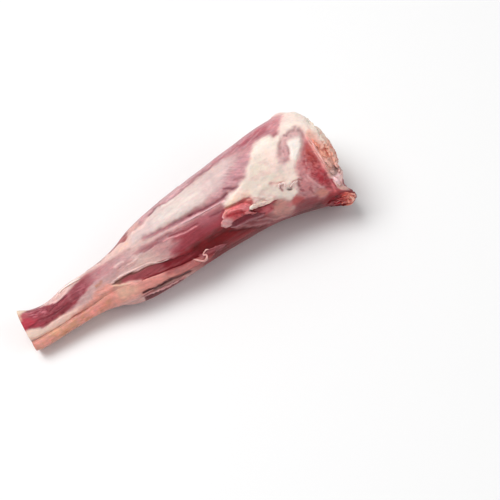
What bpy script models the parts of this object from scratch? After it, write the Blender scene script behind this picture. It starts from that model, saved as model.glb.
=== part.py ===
"""Raw mutton shank: lean meat round a leg bone, with the heel tendon along its lower edge.

The leg is lofted in its own frame and then laid down. In that frame S runs along the leg from the
sawn end, H runs across it and D runs through it, from the hidden side to the side that faces up.
Everything is in metres.
"""

import math

import bmesh
import bpy
from mathutils import Matrix, Vector

# Driving dimensions. Each line is a row of (S, value) points that a smooth curve joins.
MEAT_FACE = 0.2805
MEAT_TOP = (
    (0.000, 0.0166), (0.010, 0.0122), (0.024, 0.0108), (0.044, 0.0147), (0.068, 0.0158),
    (0.088, 0.0193), (0.108, 0.0263), (0.128, 0.0309), (0.158, 0.0355), (0.200, 0.0413),
    (0.230, 0.0455), (0.251, 0.0462), (0.262, 0.0450), (0.270, 0.0420), (0.2760, 0.0372),
    (MEAT_FACE, 0.0315),
)
MEAT_BOTTOM = (
    (0.000, -0.0128), (0.040, -0.0128), (0.056, -0.0155), (0.073, -0.0218), (0.084, -0.0272),
    (0.096, -0.0296), (0.115, -0.0300), (0.160, -0.0285), (0.190, -0.0288), (0.210, -0.0305),
    (0.230, -0.0340), (0.255, -0.0405), (0.270, -0.0465), (0.277, -0.0490), (MEAT_FACE, -0.0475),
)
MEAT_FRONT = (
    (0.000, 0.0130), (0.045, 0.0125), (0.080, 0.0150), (0.110, 0.0200), (0.150, 0.0265),
    (0.190, 0.0310), (0.230, 0.0340), (0.258, 0.0340), (0.272, 0.0325), (MEAT_FACE, 0.0285),
)
MEAT_BACK = (
    (0.000, -0.0140), (0.045, -0.0140), (0.080, -0.0180), (0.110, -0.0240), (0.150, -0.0305),
    (0.190, -0.0355), (0.230, -0.0385), (0.258, -0.0385), (0.272, -0.0360), (MEAT_FACE, -0.0310),
)
MEAT_POWER = 2.15
# The end faces are drawn in by rings of these sizes, the wide end swelling a little.
SAWN_FACE_SIZE = 0.5
WIDE_FACE_SIZES, WIDE_FACE_SWELL = (0.9, 0.5), 0.0012
WIDE_END_START = 0.262
# Both ends are cut a little askew: each slope is a shift along S for each metre across or through.
SAW_ACROSS, SAW_THROUGH, SAW_FADE = 0.06, -0.15, 0.020
FACE_THROUGH, FACE_FADE = -0.15, 0.045
TAG_H, TAG_WIDTH, TAG_REACH = -0.0430, 0.0070, 0.0030

BONE_FACE = 0.2855
BONE_H = (
    (0.000, 0.0040), (0.024, 0.0012), (0.060, 0.0018), (0.150, 0.0040), (0.230, 0.0050),
    (BONE_FACE, 0.0030),
)
BONE_D = ((0.000, -0.0010), (0.100, -0.0030), (0.200, -0.0045), (BONE_FACE, -0.0015))
BONE_TALL = (
    (0.000, 0.0078), (0.024, 0.0068), (0.060, 0.0070), (0.180, 0.0085), (0.225, 0.0110),
    (0.255, 0.0175), (0.273, 0.0198), (0.2810, 0.0198), (BONE_FACE, 0.0172),
)
BONE_WIDE = (
    (0.000, 0.0090), (0.024, 0.0080), (0.060, 0.0080), (0.180, 0.0092), (0.225, 0.0125),
    (0.255, 0.0205), (0.273, 0.0238), (0.2810, 0.0238), (BONE_FACE, 0.0208),
)
NECK_START, KNOB_START, KNOB_EDGE = 0.225, 0.235, 0.273
KNOB_LOBES = 0.07
# The joint face: rings that shrink to its middle, two dishes at half its width, and a spine between.
FACE_SIZES, FACE_CROWN = (0.86, 0.62, 0.36, 0.12), 0.0016
DISH_DEPTH, DISH_PLACE, DISH_SPREAD, DISH_TALL = 0.0014, 0.5, 0.28, 0.014
SPINE_HEIGHT, SPINE_SPREAD, SPINE_TALL = 0.0024, 0.16, 0.008
MARROW_RADIUS = 0.0044
MARROW_DEPTH = 0.0016

TENDON_END = 0.1530
TENDON_UPPER = (
    (0.000, -0.0100), (0.045, -0.0098), (0.060, -0.0070), (0.074, -0.0060), (0.086, -0.0085),
    (0.103, -0.0130), (0.128, -0.0172), (TENDON_END, -0.0190),
)
TENDON_LOWER = (
    (0.000, -0.0180), (0.006, -0.0190), (0.045, -0.0184), (0.060, -0.0192), (0.075, -0.0222),
    (0.090, -0.0240), (0.110, -0.0238), (0.130, -0.0262), (TENDON_END, -0.0255),
)
TENDON_D = (
    (0.000, 0.0020), (0.045, 0.0030), (0.075, 0.0080), (0.100, 0.0120), (0.125, 0.0142),
    (TENDON_END, 0.0152),
)
TENDON_DEEP = ((0.000, 0.0078), (0.045, 0.0072), (0.075, 0.0064), (0.110, 0.0045), (TENDON_END, 0.0030))
TENDON_POWER = 2.3
TIP_LENGTH, TIP_SIZE = 0.002, 0.7

SLIT_START, SLIT_END = 0.0765, 0.1500
SLIT_UPPER = (
    (SLIT_START, -0.0042), (0.098, -0.0046), (0.113, -0.0072), (0.130, -0.0118), (SLIT_END, -0.0150),
)
SLIT_LOWER = ((SLIT_START, -0.0062), (0.098, -0.0136), (0.125, -0.0190), (SLIT_END, -0.0205))
# The slit is deepest near its middle, already open at its start, and its floor is curved up at the sides.
SLIT_DEEP, SLIT_LEAD, SLIT_FLOOR_RISE, SLIT_CLEARANCE = 0.0080, 0.008, 0.002, 0.006

# Furrows between the muscles: side (1 shown, -1 hidden), half width, depth, and the line's (S, H) points.
FURROWS = (
    (1, 0.0035, 0.0026, ((0.095, 0.0165), (0.135, 0.0132), (0.165, 0.0098), (0.195, 0.0092))),
    (1, 0.0020, 0.0012, ((0.100, 0.0225), (0.130, 0.0292), (0.165, 0.0325), (0.205, 0.0370))),
    (1, 0.0055, 0.0034, ((0.125, -0.0125), (0.155, -0.0145), (0.190, -0.0150), (0.225, -0.0165))),
    (-1, 0.0050, 0.0030, ((0.075, -0.0040), (0.160, -0.0090), (0.215, -0.0130), (0.268, -0.0160))),
    (-1, 0.0045, 0.0026, ((0.090, 0.0120), (0.170, 0.0170), (0.220, 0.0180), (0.262, 0.0160))),
)
FURROW_FADE = 0.6
# Furrows and lumps fade out towards the edge, over this distance from the middle plane.
EDGE_FADE = 0.010
# Lumps and hollows: side, S, H, half length, half width, height (negative for a hollow).
LUMPS = (
    (1, 0.192, -0.003, 0.015, 0.006, 0.0028),
    (1, 0.226, 0.012, 0.024, 0.018, 0.0012),
    (1, 0.249, 0.014, 0.006, 0.010, -0.0026),
    (1, 0.263, -0.008, 0.008, 0.022, 0.0012),
    (1, 0.272, -0.040, 0.010, 0.006, 0.0022),
    (-1, 0.150, 0.002, 0.050, 0.010, 0.0014),
    (-1, 0.255, 0.000, 0.020, 0.014, 0.0012),
)

ROLL = math.radians(27.3)
TILT = math.radians(5.0)
SEAT_DEPTH = 0.0030
GAP = 0.0003
# How far a cutter runs past the surface it comes out of.
OVERRUN = 0.006

MEAT_POINTS, BONE_POINTS, TENDON_POINTS = 40, 20, 12
# Spacing of the rings along S.
MEAT_PITCH, SHAFT_PITCH, NECK_PITCH, KNOB_PITCH = 0.0062, 0.0170, 0.0071, 0.0030
TENDON_PITCH, SLIT_PITCH = 0.0072, 0.0082


def curve(points, s):
    """Value at s of a smooth curve through the (S, value) points."""
    last = len(points) - 1
    if s <= points[0][0]:
        return points[0][1]
    if s >= points[last][0]:
        return points[last][1]

    def slope(i):
        low, high = max(i - 1, 0), min(i + 1, last)
        return (points[high][1] - points[low][1]) / (points[high][0] - points[low][0])

    i = max(k for k in range(last) if points[k][0] <= s)
    step = points[i + 1][0] - points[i][0]
    t = (s - points[i][0]) / step
    return (
        (2 * t**3 - 3 * t**2 + 1) * points[i][1]
        + (t**3 - 2 * t**2 + t) * step * slope(i)
        + (3 * t**2 - 2 * t**3) * points[i + 1][1]
        + (t**3 - t**2) * step * slope(i + 1)
    )


def stations(start, end, pitch):
    """Evenly spaced S values from start to end, about pitch apart."""
    count = max(2, round((end - start) / pitch))
    return [start + (end - start) * k / count for k in range(count + 1)]


def oval(top, bottom, front, back, count, power=2.0):
    """Closed outline of (H, D) points: a rounded oval with its own reach each way."""
    middle = (top + bottom) / 2
    half = (top - bottom) / 2
    outline = []
    for k in range(count):
        angle = 2 * math.pi * k / count
        c, s = math.cos(angle), math.sin(angle)
        across = math.copysign(abs(c) ** (2 / power), c) * half
        through = abs(s) ** (2 / power) * (front if s >= 0 else back)
        outline.append((middle + across, through))
    return outline


def lean(s, h, d):
    """Shift along S from the askew cuts, and from the torn tag low on the thick end."""
    saw = max(0.0, 1 - s / SAW_FADE)
    face = max(0.0, 1 - (MEAT_FACE - s) / FACE_FADE) if s < MEAT_FACE else 1.0
    tag = TAG_REACH * bell((h - TAG_H) / TAG_WIDTH)
    return s + saw * (SAW_ACROSS * h + SAW_THROUGH * d) + face * (FACE_THROUGH * d + tag)


def bell(x):
    """1 at x = 0, falling smoothly to almost nothing at x = 2."""
    return math.exp(-x * x)


def relief(s, h, side):
    """Height of the meat's furrows and lumps at one place."""
    height = 0.0
    for furrow_side, half_width, depth, line in FURROWS:
        if furrow_side == side and line[0][0] < s < line[-1][0]:
            along = (s - line[0][0]) / (line[-1][0] - line[0][0])
            fade = math.sin(math.pi * along) ** FURROW_FADE
            height -= depth * fade * bell((h - curve(line, s)) / half_width)
    for lump_side, at_s, at_h, half_length, half_width, rise in LUMPS:
        if lump_side == side:
            height += rise * bell((s - at_s) / half_length) * bell((h - at_h) / half_width)
    return height


def shown_surface(s, h):
    """D of the meat's shown side at S and H, before its furrows and lumps."""
    top, bottom = curve(MEAT_TOP, s), curve(MEAT_BOTTOM, s)
    across = abs(2 * h - top - bottom) / (top - bottom)
    return curve(MEAT_FRONT, s) * (1 - across**MEAT_POWER) ** (1 / MEAT_POWER)


def meat_ring(s, shrink=1.0):
    """Outline of the meat at s, with its furrows and lumps; shrink draws the end faces in."""
    top, bottom = curve(MEAT_TOP, s), curve(MEAT_BOTTOM, s)
    front, back = curve(MEAT_FRONT, s), curve(MEAT_BACK, s)
    middle = (top + bottom) / 2
    ring = []
    for h, d in oval(top, bottom, front, back, MEAT_POINTS, MEAT_POWER):
        reach = math.hypot(h - middle, d)
        rise = relief(s, h, 1 if d > 0 else -1) * min(1.0, abs(d) / EDGE_FADE)
        factor = (1 + rise / reach) * shrink
        h, d = middle + (h - middle) * factor, d * factor
        ring.append((lean(s, h, d), h, d))
    return ring


def meat_rings():
    """From the sawn face, along the leg, and in across the wide end's face."""
    rings = [meat_ring(0.0, SAWN_FACE_SIZE)]
    rings += [meat_ring(s) for s in stations(0.0, WIDE_END_START, MEAT_PITCH)]
    rings += [meat_ring(s) for s in stations(WIDE_END_START, MEAT_FACE, MEAT_PITCH / 2)[1:]]
    for size in WIDE_FACE_SIZES:
        swell = WIDE_FACE_SWELL * (1 - size**2)
        rings.append([(s + swell, h, d) for s, h, d in meat_ring(MEAT_FACE, size)])
    return rings


def bone_ring(s, grow=0.0, shrink=1.0):
    """Outline of the bone at s: round in the shaft, two lobes with a notch between at the knob."""
    tall = curve(BONE_TALL, s) + grow
    wide = curve(BONE_WIDE, s) + grow
    knob = min(1.0, max(0.0, (s - KNOB_START) / (BONE_FACE - KNOB_START)))
    ring = []
    for h, d in oval(tall, -tall, wide, -wide, BONE_POINTS):
        angle = math.atan2(d, h)
        lobe = (1 - KNOB_LOBES * knob * math.cos(3 * angle + math.pi)) * shrink
        h, d = h * lobe + curve(BONE_H, s), d * lobe + curve(BONE_D, s)
        ring.append((lean(s, h, d), h, d))
    return ring


def joint_face_rings():
    """The knob's end: two shallow dishes side by side, with a low spine between them."""
    centre_h, centre_d = curve(BONE_H, BONE_FACE), curve(BONE_D, BONE_FACE)
    wide = curve(BONE_WIDE, BONE_FACE)
    rings = []
    for size in FACE_SIZES:
        crown = FACE_CROWN * (1 - size**2)
        ring = []
        for s, h, d in bone_ring(BONE_FACE, shrink=size):
            across, up = (d - centre_d) / wide, h - centre_h
            dish = DISH_DEPTH * bell((abs(across) - DISH_PLACE) / DISH_SPREAD) * bell(up / DISH_TALL)
            spine = SPINE_HEIGHT * bell(across / SPINE_SPREAD) * bell(up / SPINE_TALL)
            ring.append((s + crown - dish + spine, h, d))
        rings.append(ring)
    return rings


def bone_stations():
    """S values of the bone's rings: far apart up the shaft, closer where the knob swells."""
    shaft = stations(0.0, NECK_START, SHAFT_PITCH)
    neck = stations(NECK_START, KNOB_EDGE, NECK_PITCH)[1:]
    return shaft + neck + stations(KNOB_EDGE, BONE_FACE, KNOB_PITCH)[1:]


def bone_rings():
    """From the marrow hollow, over the sawn edge, up the shaft and across the joint face."""
    marrow = MARROW_RADIUS / curve(BONE_TALL, 0.0)
    hollow = [(s + MARROW_DEPTH, h, d) for s, h, d in bone_ring(0.0, shrink=marrow)]
    rings = [hollow, bone_ring(0.0, shrink=marrow)]
    rings += [bone_ring(s) for s in bone_stations()]
    return rings + joint_face_rings()


def bone_bed_rings():
    """The hole that the bone fills, run out past both ends of the meat."""
    rings = [[(s - OVERRUN, h, d) for s, h, d in bone_ring(0.0, GAP)]]
    rings += [bone_ring(s, GAP) for s in bone_stations()]
    rings += [[(s + OVERRUN, h, d) for s, h, d in bone_ring(BONE_FACE, GAP)]]
    return rings


def tendon_ring(s, grow=0.0, shrink=1.0):
    """Outline of the heel tendon at s: an oval band that thins to a flat strap."""
    top, bottom = curve(TENDON_UPPER, s) + grow, curve(TENDON_LOWER, s) - grow
    deep = curve(TENDON_DEEP, s) + grow
    middle = (top + bottom) / 2
    ring = []
    for h, d in oval(top, bottom, deep, -deep, TENDON_POINTS, TENDON_POWER):
        h, d = middle + (h - middle) * shrink, d * shrink + curve(TENDON_D, s)
        ring.append((lean(s, h, d), h, d))
    return ring


def tendon_stations():
    return stations(0.0, TENDON_END - TIP_LENGTH, TENDON_PITCH)


def tendon_rings():
    """The whole tendon, from the sawn end to the strap's blunt tip."""
    rings = [tendon_ring(s) for s in tendon_stations()]
    return rings + [tendon_ring(TENDON_END, shrink=TIP_SIZE)]


def tendon_bed_rings():
    """The groove that the tendon lies in, run out past the sawn end and the strap's tip."""
    rings = [[(s - OVERRUN, h, d) for s, h, d in tendon_ring(0.0, GAP)]]
    rings += [tendon_ring(s, GAP) for s in tendon_stations()]
    return rings + [tendon_ring(TENDON_END + GAP, GAP)]


def slit_rings():
    """The long gap that opens between the tendon and the meat above it."""
    rings = []
    for s in stations(SLIT_START, SLIT_END, SLIT_PITCH):
        upper, lower = curve(SLIT_UPPER, s), curve(SLIT_LOWER, s)
        middle = (upper + lower) / 2
        along = (s - SLIT_START + SLIT_LEAD) / (SLIT_END - SLIT_START + SLIT_LEAD)
        floor = shown_surface(s, middle) - SLIT_DEEP * math.sin(math.pi * along)
        side = floor + SLIT_FLOOR_RISE
        sky = curve(MEAT_FRONT, s) + SLIT_CLEARANCE
        outline = ((upper, sky), (upper, side), (middle, floor), (lower, side), (lower, sky))
        rings.append([(s, h, d) for h, d in outline])
    return rings


def laying():
    """The turn from the leg's own frame to the world: rolled on its broad side, axis tilted up."""
    return Matrix.Rotation(-TILT, 4, "Y") @ Matrix.Rotation(ROLL, 4, "X")


def add_loop(bm, ring, lay):
    verts = [bm.verts.new(lay @ Vector(point)) for point in ring]
    return verts, [bm.edges.new((verts[k - 1], verts[k])) for k in range(len(verts))]


def loft(name, rings, lay):
    """Closed solid: neighbouring rings bridged into walls, the first and last one filled."""
    bm = bmesh.new()
    first, edges = add_loop(bm, rings[0], lay)
    last = first
    for ring in rings[1:]:
        last, next_edges = add_loop(bm, ring, lay)
        bmesh.ops.bridge_loops(bm, edges=edges + next_edges)
        edges = next_edges
    bm.faces.new(first)
    bm.faces.new(last)
    bmesh.ops.triangulate(bm, faces=bm.faces[:])
    bmesh.ops.recalc_face_normals(bm, faces=bm.faces[:])
    mesh = bpy.data.meshes.new(name)
    bm.to_mesh(mesh)
    bm.free()
    part = bpy.data.objects.new(name, mesh)
    bpy.context.scene.collection.objects.link(part)
    return part


def cutter(name, rings, lay, target):
    """A hidden solid that is cut out of the target."""
    tool = loft(name, rings, lay)
    tool.hide_render = True
    tool.display_type = "WIRE"
    cut = target.modifiers.new(name, "BOOLEAN")
    cut.operation = "DIFFERENCE"
    cut.solver = "EXACT"
    cut.object = tool
    return tool


def finish(part, colour, roughness):
    material = bpy.data.materials.new(part.name)
    material.use_nodes = True
    shader = material.node_tree.nodes["Principled BSDF"]
    shader.inputs["Base Color"].default_value = (*colour, 1.0)
    shader.inputs["Roughness"].default_value = roughness
    shader.inputs["Metallic"].default_value = 0.0
    part.data.materials.append(material)
    part.data.shade_smooth()


def press_flat(part, height):
    """Press what lies below the height flat, as meat settles on a table."""
    for vertex in part.data.vertices:
        vertex.co.z = max(vertex.co.z, height)


def middle_of(parts, axis):
    """Middle of the parts' shared box along one axis."""
    reach = [vertex.co[axis] for part in parts for vertex in part.data.vertices]
    return (min(reach) + max(reach)) / 2


def build():
    for old in list(bpy.data.objects):
        bpy.data.objects.remove(old)

    lay = laying()
    meat = loft("shank_meat", meat_rings(), lay)
    bone = loft("leg_bone", bone_rings(), lay)
    tendon = loft("heel_tendon", tendon_rings(), lay)
    floor = min(vertex.co.z for vertex in meat.data.vertices) + SEAT_DEPTH
    press_flat(meat, floor)

    tools = (
        cutter("bone_bed", bone_bed_rings(), lay, meat),
        cutter("tendon_bed", tendon_bed_rings(), lay, meat),
        cutter("heel_slit", slit_rings(), lay, meat),
    )

    solids = (meat, bone, tendon)
    frame = bpy.data.objects.new("shank", None)
    bpy.context.scene.collection.objects.link(frame)
    frame.location = (-middle_of(solids, 0), -middle_of(solids, 1), -floor)
    for part in solids + tools:
        part.parent = frame

    finish(meat, (0.42, 0.12, 0.12), 0.35)
    finish(bone, (0.82, 0.72, 0.62), 0.40)
    finish(tendon, (0.70, 0.36, 0.30), 0.35)


build()
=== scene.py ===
import math

import bpy
import numpy as np
from mathutils import Matrix, Vector
from mathutils.bvhtree import BVHTree


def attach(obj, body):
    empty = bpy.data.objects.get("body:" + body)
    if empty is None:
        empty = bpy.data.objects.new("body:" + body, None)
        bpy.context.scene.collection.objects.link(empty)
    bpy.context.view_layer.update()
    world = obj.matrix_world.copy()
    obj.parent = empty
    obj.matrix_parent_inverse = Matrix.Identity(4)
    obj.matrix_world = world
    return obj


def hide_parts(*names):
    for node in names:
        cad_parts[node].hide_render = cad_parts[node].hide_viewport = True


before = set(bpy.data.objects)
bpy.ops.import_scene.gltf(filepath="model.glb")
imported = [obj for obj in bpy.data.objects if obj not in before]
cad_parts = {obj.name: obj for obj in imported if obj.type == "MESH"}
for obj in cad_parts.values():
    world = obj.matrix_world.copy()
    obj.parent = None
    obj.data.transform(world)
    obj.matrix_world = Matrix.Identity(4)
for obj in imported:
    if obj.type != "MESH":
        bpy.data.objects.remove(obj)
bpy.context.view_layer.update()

# ---- How the shank lies, and the camera ----
# The leg has its own frame in millimetres: S runs along it from the sawn end, H across it and D
# through it. It lies rolled on its broad side. The camera looks down on the shown side.

MM = 0.001
ROLL, TILT = math.radians(27.3), math.radians(5.0)
SAWN_MIDDLE = np.array((-0.14332, 0.00076, 0.01368))
LEG_TURN = np.array(Matrix.Rotation(-TILT, 3, "Y") @ Matrix.Rotation(ROLL, 3, "X"))
CAMERA_PLACE = (-0.26107, -0.50313, 0.98261)
CAMERA_ELEVATION, CAMERA_AZIMUTH = math.radians(60.0), math.radians(-32.787)
LENS, SENSOR = 100.0, 36.0

camera = bpy.data.objects.new("camera", bpy.data.cameras.new("camera"))
camera.data.lens = LENS
camera.data.sensor_width = SENSOR
camera.location = CAMERA_PLACE
camera.rotation_euler = (math.pi / 2 - CAMERA_ELEVATION, 0.0, CAMERA_AZIMUTH)
bpy.context.scene.collection.objects.link(camera)
bpy.context.scene.camera = camera
bpy.context.view_layer.update()


PRESSED_EDGE = 0.0007


def laid(leg_points):
    """From the leg's own frame, in millimetres, to the row frame, in metres, pressed flat on the table."""
    placed = SAWN_MIDDLE + leg_points * MM @ LEG_TURN.T
    placed[:, 2] = (placed[:, 2] + np.sqrt(placed[:, 2] ** 2 + PRESSED_EDGE**2)) / 2
    return placed


# The shown side is marked out on a level plane seen from the camera: millimetres along and across.
PICTURE_SIDE, MM_PER_PIXEL, PICTURE_SLOPE = 500, 0.8, math.radians(31.0)
SAWN_PIXEL = np.array((27.0, 330.0))


def shown_plane(placed):
    """Along and across, in millimetres, of points of the row frame as the camera shows them."""
    turn = np.array(camera.matrix_world.to_3x3())
    seen = (placed - np.array(camera.location)) @ turn
    focal = LENS / SENSOR * PICTURE_SIDE
    x = PICTURE_SIDE / 2 - focal * seen[:, 0] / seen[:, 2] - SAWN_PIXEL[0]
    y = SAWN_PIXEL[1] - PICTURE_SIDE / 2 - focal * seen[:, 1] / seen[:, 2]
    c, s = math.cos(PICTURE_SLOPE), math.sin(PICTURE_SLOPE)
    return np.stack([x * c + y * s, y * c - x * s], axis=1) * MM_PER_PIXEL


# ---- Lean meat under its silverskin and fat cover ----
# The body of the shank: muscle bundles wrapped in thin silvery sheaths, with a cream fat cover
# over the thick end. One skin, lofted round the leg, with every furrow, edge and lump in its mesh.

TOP = (
    (0, 16.6), (10, 12.2), (24, 10.8), (44, 14.7), (68, 15.8), (88, 19.3), (108, 26.3), (128, 30.9),
    (158, 35.5), (200, 41.3), (230, 45.5), (251, 46.2), (262, 45.0), (270, 42.0), (276, 37.2), (280.5, 31.5),
)
BOTTOM = (
    (0, -12.8), (40, -12.8), (56, -15.5), (73, -21.8), (84, -27.2), (96, -29.6), (115, -30.0), (160, -28.5),
    (190, -28.8), (210, -30.5), (230, -34.0), (255, -40.5), (270, -46.5), (277, -49.0), (280.5, -47.5),
)
FRONT = (
    (0, 13.0), (45, 12.5), (80, 15.0), (110, 20.0), (150, 26.5), (190, 31.0), (230, 34.0), (258, 34.0),
    (272, 32.5), (280.5, 28.5),
)
BACK = (
    (0, -14.0), (45, -14.0), (80, -18.0), (110, -24.0), (150, -30.5), (190, -35.5), (230, -38.5),
    (258, -38.5), (272, -36.0), (280.5, -31.0),
)
FACE_S = 280.5
SECTION_POWER = 2.15
SAW_REACH, KNIFE_REACH = 20, 45
NOTCH_DEPTH, NOTCH_H, NOTCH_WIDTH = 4.2, -31.0, 6
FRONT_COLUMNS, BACK_COLUMNS = 190, 90
SAWN_ROWS, RIM_ROWS, FACE_ROWS = 11, 4, 26


def curve(points, s):
    """Smooth curve through the (S, value) points, read at every s."""
    at, value = np.array(points, float).T
    slope = np.empty_like(value)
    slope[1:-1] = (value[2:] - value[:-2]) / (at[2:] - at[:-2])
    slope[0] = (value[1] - value[0]) / (at[1] - at[0])
    slope[-1] = (value[-1] - value[-2]) / (at[-1] - at[-2])
    s = np.clip(s, at[0], at[-1])
    i = np.clip(np.searchsorted(at, s, side="right") - 1, 0, len(at) - 2)
    step = at[i + 1] - at[i]
    t = (s - at[i]) / step
    return (
        (2 * t**3 - 3 * t**2 + 1) * value[i] + (t**3 - 2 * t**2 + t) * step * slope[i]
        + (3 * t**2 - 2 * t**3) * value[i + 1] + (t**3 - t**2) * step * slope[i + 1]
    )


def smooth(low, high, x):
    """0 below low, 1 above high, and a soft step between them."""
    t = np.clip((x - low) / (high - low), 0, 1)
    return t * t * (3 - 2 * t)


def bell(x):
    return np.exp(-x * x)


def eight_bit(colour):
    """8-bit values as shares of 1."""
    return np.array(colour, float) / 255


def linear(colour):
    """Linear light of an sRGB colour."""
    return np.where(colour <= 0.04045, colour / 12.92, ((colour + 0.055) / 1.055) ** 2.4)


def toward(paint, goal, share):
    """Paint blended towards another colour, by each point's share."""
    return paint + (goal - paint) * share[:, None]


def wrapped(along, turn, radius):
    """Where points lie on a piece's strands, in mm: along it, and round it at that radius."""
    return np.stack([along, radius * np.cos(turn), radius * np.sin(turn)], axis=-1)


CELL_PRIMES, SEED_PRIME, MIXING_PRIME = (374761393, 668265263, 1442695041), 974634777, 1274126177


def noise(points, size, seed):
    """Smooth lumps between -1 and 1; size is their size along each axis."""
    place = points / np.asarray(size, float) + 31.7 * seed
    cell = np.floor(place).astype(np.int64)
    part = place - cell
    part = part * part * (3 - 2 * part)
    total = np.zeros(len(points))
    for corner in range(8):
        step = np.array([(corner >> k) & 1 for k in range(3)])
        mixed = ((cell + step) * np.array(CELL_PRIMES)).sum(axis=1) + seed * SEED_PRIME
        mixed = ((mixed ^ (mixed >> 13)) * MIXING_PRIME) & 0xFFFFFFFF
        value = ((mixed ^ (mixed >> 16)) & 0xFFFF) / 32767.5 - 1
        total += value * np.prod(np.where(step, part, 1 - part), axis=1)
    return total


def lean_cut(s, h, d):
    """S of each point once both ends are cut a little askew."""
    saw = np.clip(1 - s / SAW_REACH, 0, 1)
    knife = np.clip(1 - (FACE_S - s) / KNIFE_REACH, 0, 1)
    return s + saw * (0.06 * h - 0.15 * d) + knife * (-0.15 * d + 3.0 * bell((h + 43) / 7))


def notched(h, d):
    """How far the knife cut in behind the rim, low on the shown side of the thick end."""
    return -NOTCH_DEPTH * bell((h - NOTCH_H) / NOTCH_WIDTH) * smooth(-22, 4, d)


def section(s, angle):
    """(H, D) of the leg's outline at s. Angle 0 is its upper edge, and a quarter turn its shown side."""
    top, bottom = curve(TOP, s), curve(BOTTOM, s)
    c, q = np.cos(angle), np.sin(angle)
    across = np.sign(c) * np.abs(c) ** (2 / SECTION_POWER)
    through = np.abs(q) ** (2 / SECTION_POWER)
    h = (top + bottom) / 2 + across * (top - bottom) / 2
    return h, through * np.where(q >= 0, curve(FRONT, s), curve(BACK, s))


def piece_of(name, grids, material, node):
    """One piece from closed tubes: each grid is (points, colours, roughness, fibre), in rows and columns.

    The fibre is where a point lies along and across the tissue's strands, in mm."""
    co, rgba, strand, loops, starts, totals = [], [], [], [], [], []
    base = corner = 0
    for points, colours, roughness, fibre in grids:
        rows, columns = points.shape[:2]
        r, k = np.meshgrid(np.arange(rows - 1), np.arange(columns), indexing="ij")
        a = (r * columns + k).ravel() + base
        b = (r * columns + (k + 1) % columns).ravel() + base
        quads = np.stack([a, b, b + columns, a + columns], axis=1)
        first = np.arange(columns)[::-1] + base
        last = np.arange(columns) + (rows - 1) * columns + base
        loops += [quads.ravel(), first, last]
        starts += [corner + np.arange(len(quads)) * 4, [corner + quads.size], [corner + quads.size + columns]]
        totals += [np.full(len(quads), 4), [columns], [columns]]
        corner += quads.size + 2 * columns
        base += rows * columns
        co.append(points.reshape(-1, 3))
        rough = np.broadcast_to(roughness, points.shape[:2]).reshape(-1, 1)
        rgba.append(np.hstack([linear(np.clip(colours, 0.01, 1)).reshape(-1, 3), rough]))
        strand.append(fibre.reshape(-1, 3))
    mesh = bpy.data.meshes.new(name)
    mesh.vertices.add(base)
    mesh.vertices.foreach_set("co", np.concatenate(co).astype(np.float32).ravel())
    mesh.loops.add(corner)
    mesh.loops.foreach_set("vertex_index", np.concatenate(loops).astype(np.int32))
    starts, totals = np.concatenate(starts), np.concatenate(totals)
    mesh.polygons.add(len(starts))
    mesh.polygons.foreach_set("loop_start", starts.astype(np.int32))
    mesh.polygons.foreach_set("loop_total", totals.astype(np.int32))
    mesh.update(calc_edges=True)
    mesh.shade_smooth()
    paints = np.concatenate(rgba)
    redness = 1 - paints[:, 1] / paints[:, 0]
    for label, kind, field, values in (
            ("paint", "FLOAT_COLOR", "color", paints),
            ("fibre", "FLOAT_VECTOR", "vector", np.concatenate(strand)),
            ("stringy", "FLOAT", "value", 0.08 + 0.92 * smooth(0.3, 0.7, redness))):
        attribute = mesh.attributes.new(label, kind, "POINT")
        attribute.data.foreach_set(field, values.astype(np.float32).ravel())
    piece = bpy.data.objects.new(name, mesh)
    bpy.context.scene.collection.objects.link(piece)
    piece.data.materials.append(material)
    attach(piece, "root")
    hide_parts(node)
    return piece


def grid_normals(points, rows, columns):
    """Outward normals of a closed grid."""
    grid = points.reshape(rows, columns, 3)
    along = np.gradient(grid, axis=0)
    around = np.roll(grid, -1, axis=1) - np.roll(grid, 1, axis=1)
    normals = np.cross(around, along).reshape(-1, 3)
    return normals / np.maximum(np.linalg.norm(normals, axis=1, keepdims=True), 1e-9)


def gap_to(plane, start, edge):
    """Distance from each point to one edge of a line."""
    t = np.clip((plane - start) @ edge / (edge @ edge), 0, 1)
    gap = plane - start - t[:, None] * edge
    return np.hypot(gap[:, 0], gap[:, 1])


def depth_inside(plane, outline):
    """Distance from each point to a closed outline's edge, positive inside it."""
    corners = np.array(outline, float)
    nearest = np.full(len(plane), 1e9)
    odd = np.zeros(len(plane), bool)
    for start, end in zip(corners, np.roll(corners, -1, axis=0)):
        edge = end - start
        nearest = np.minimum(nearest, gap_to(plane, start, edge))
        crosses = (start[1] > plane[:, 1]) != (end[1] > plane[:, 1])
        rise = edge[1] if edge[1] else 1e-9
        odd ^= crosses & (plane[:, 0] < start[0] + (plane[:, 1] - start[1]) / rise * edge[0])
    return np.where(odd, nearest, -nearest)


def reach_to(plane, line):
    """Distance from each point to an open line."""
    corners = np.array(line, float)
    return np.min([gap_to(plane, start, end - start) for start, end in zip(corners[:-1], corners[1:])], axis=0)


def marked(marks, plane, colour):
    """Colour and lift at each point after every mark, in the order that they are laid on."""
    colour = colour.copy()
    height = np.zeros(len(plane))
    for count, (kind, softness, paint, strength, lift, points) in enumerate(marks):
        corners = np.array(points, float)
        reach = 3 * softness
        near = ((plane > corners.min(axis=0) - reach) & (plane < corners.max(axis=0) + reach)).all(axis=1)
        here = plane[near]
        if kind == "line":
            weight = bell(reach_to(here, corners) / softness)
        else:
            weight = smooth(-softness, softness, depth_inside(here, corners))
        if kind not in ("line", "area"):
            length, width, angle = kind
            c, s = math.cos(math.radians(angle)), math.sin(math.radians(angle))
            x, y = here.T
            turned = np.stack([x * c + y * s, y * c - x * s, x * 0], axis=1)
            weight = weight * smooth(0.0, 0.5, noise(turned, (length, width, 1), 200 + count))
        colour[near] = toward(colour[near], eight_bit(paint), weight * strength)
        height[near] += weight * lift
    return colour, height


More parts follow.
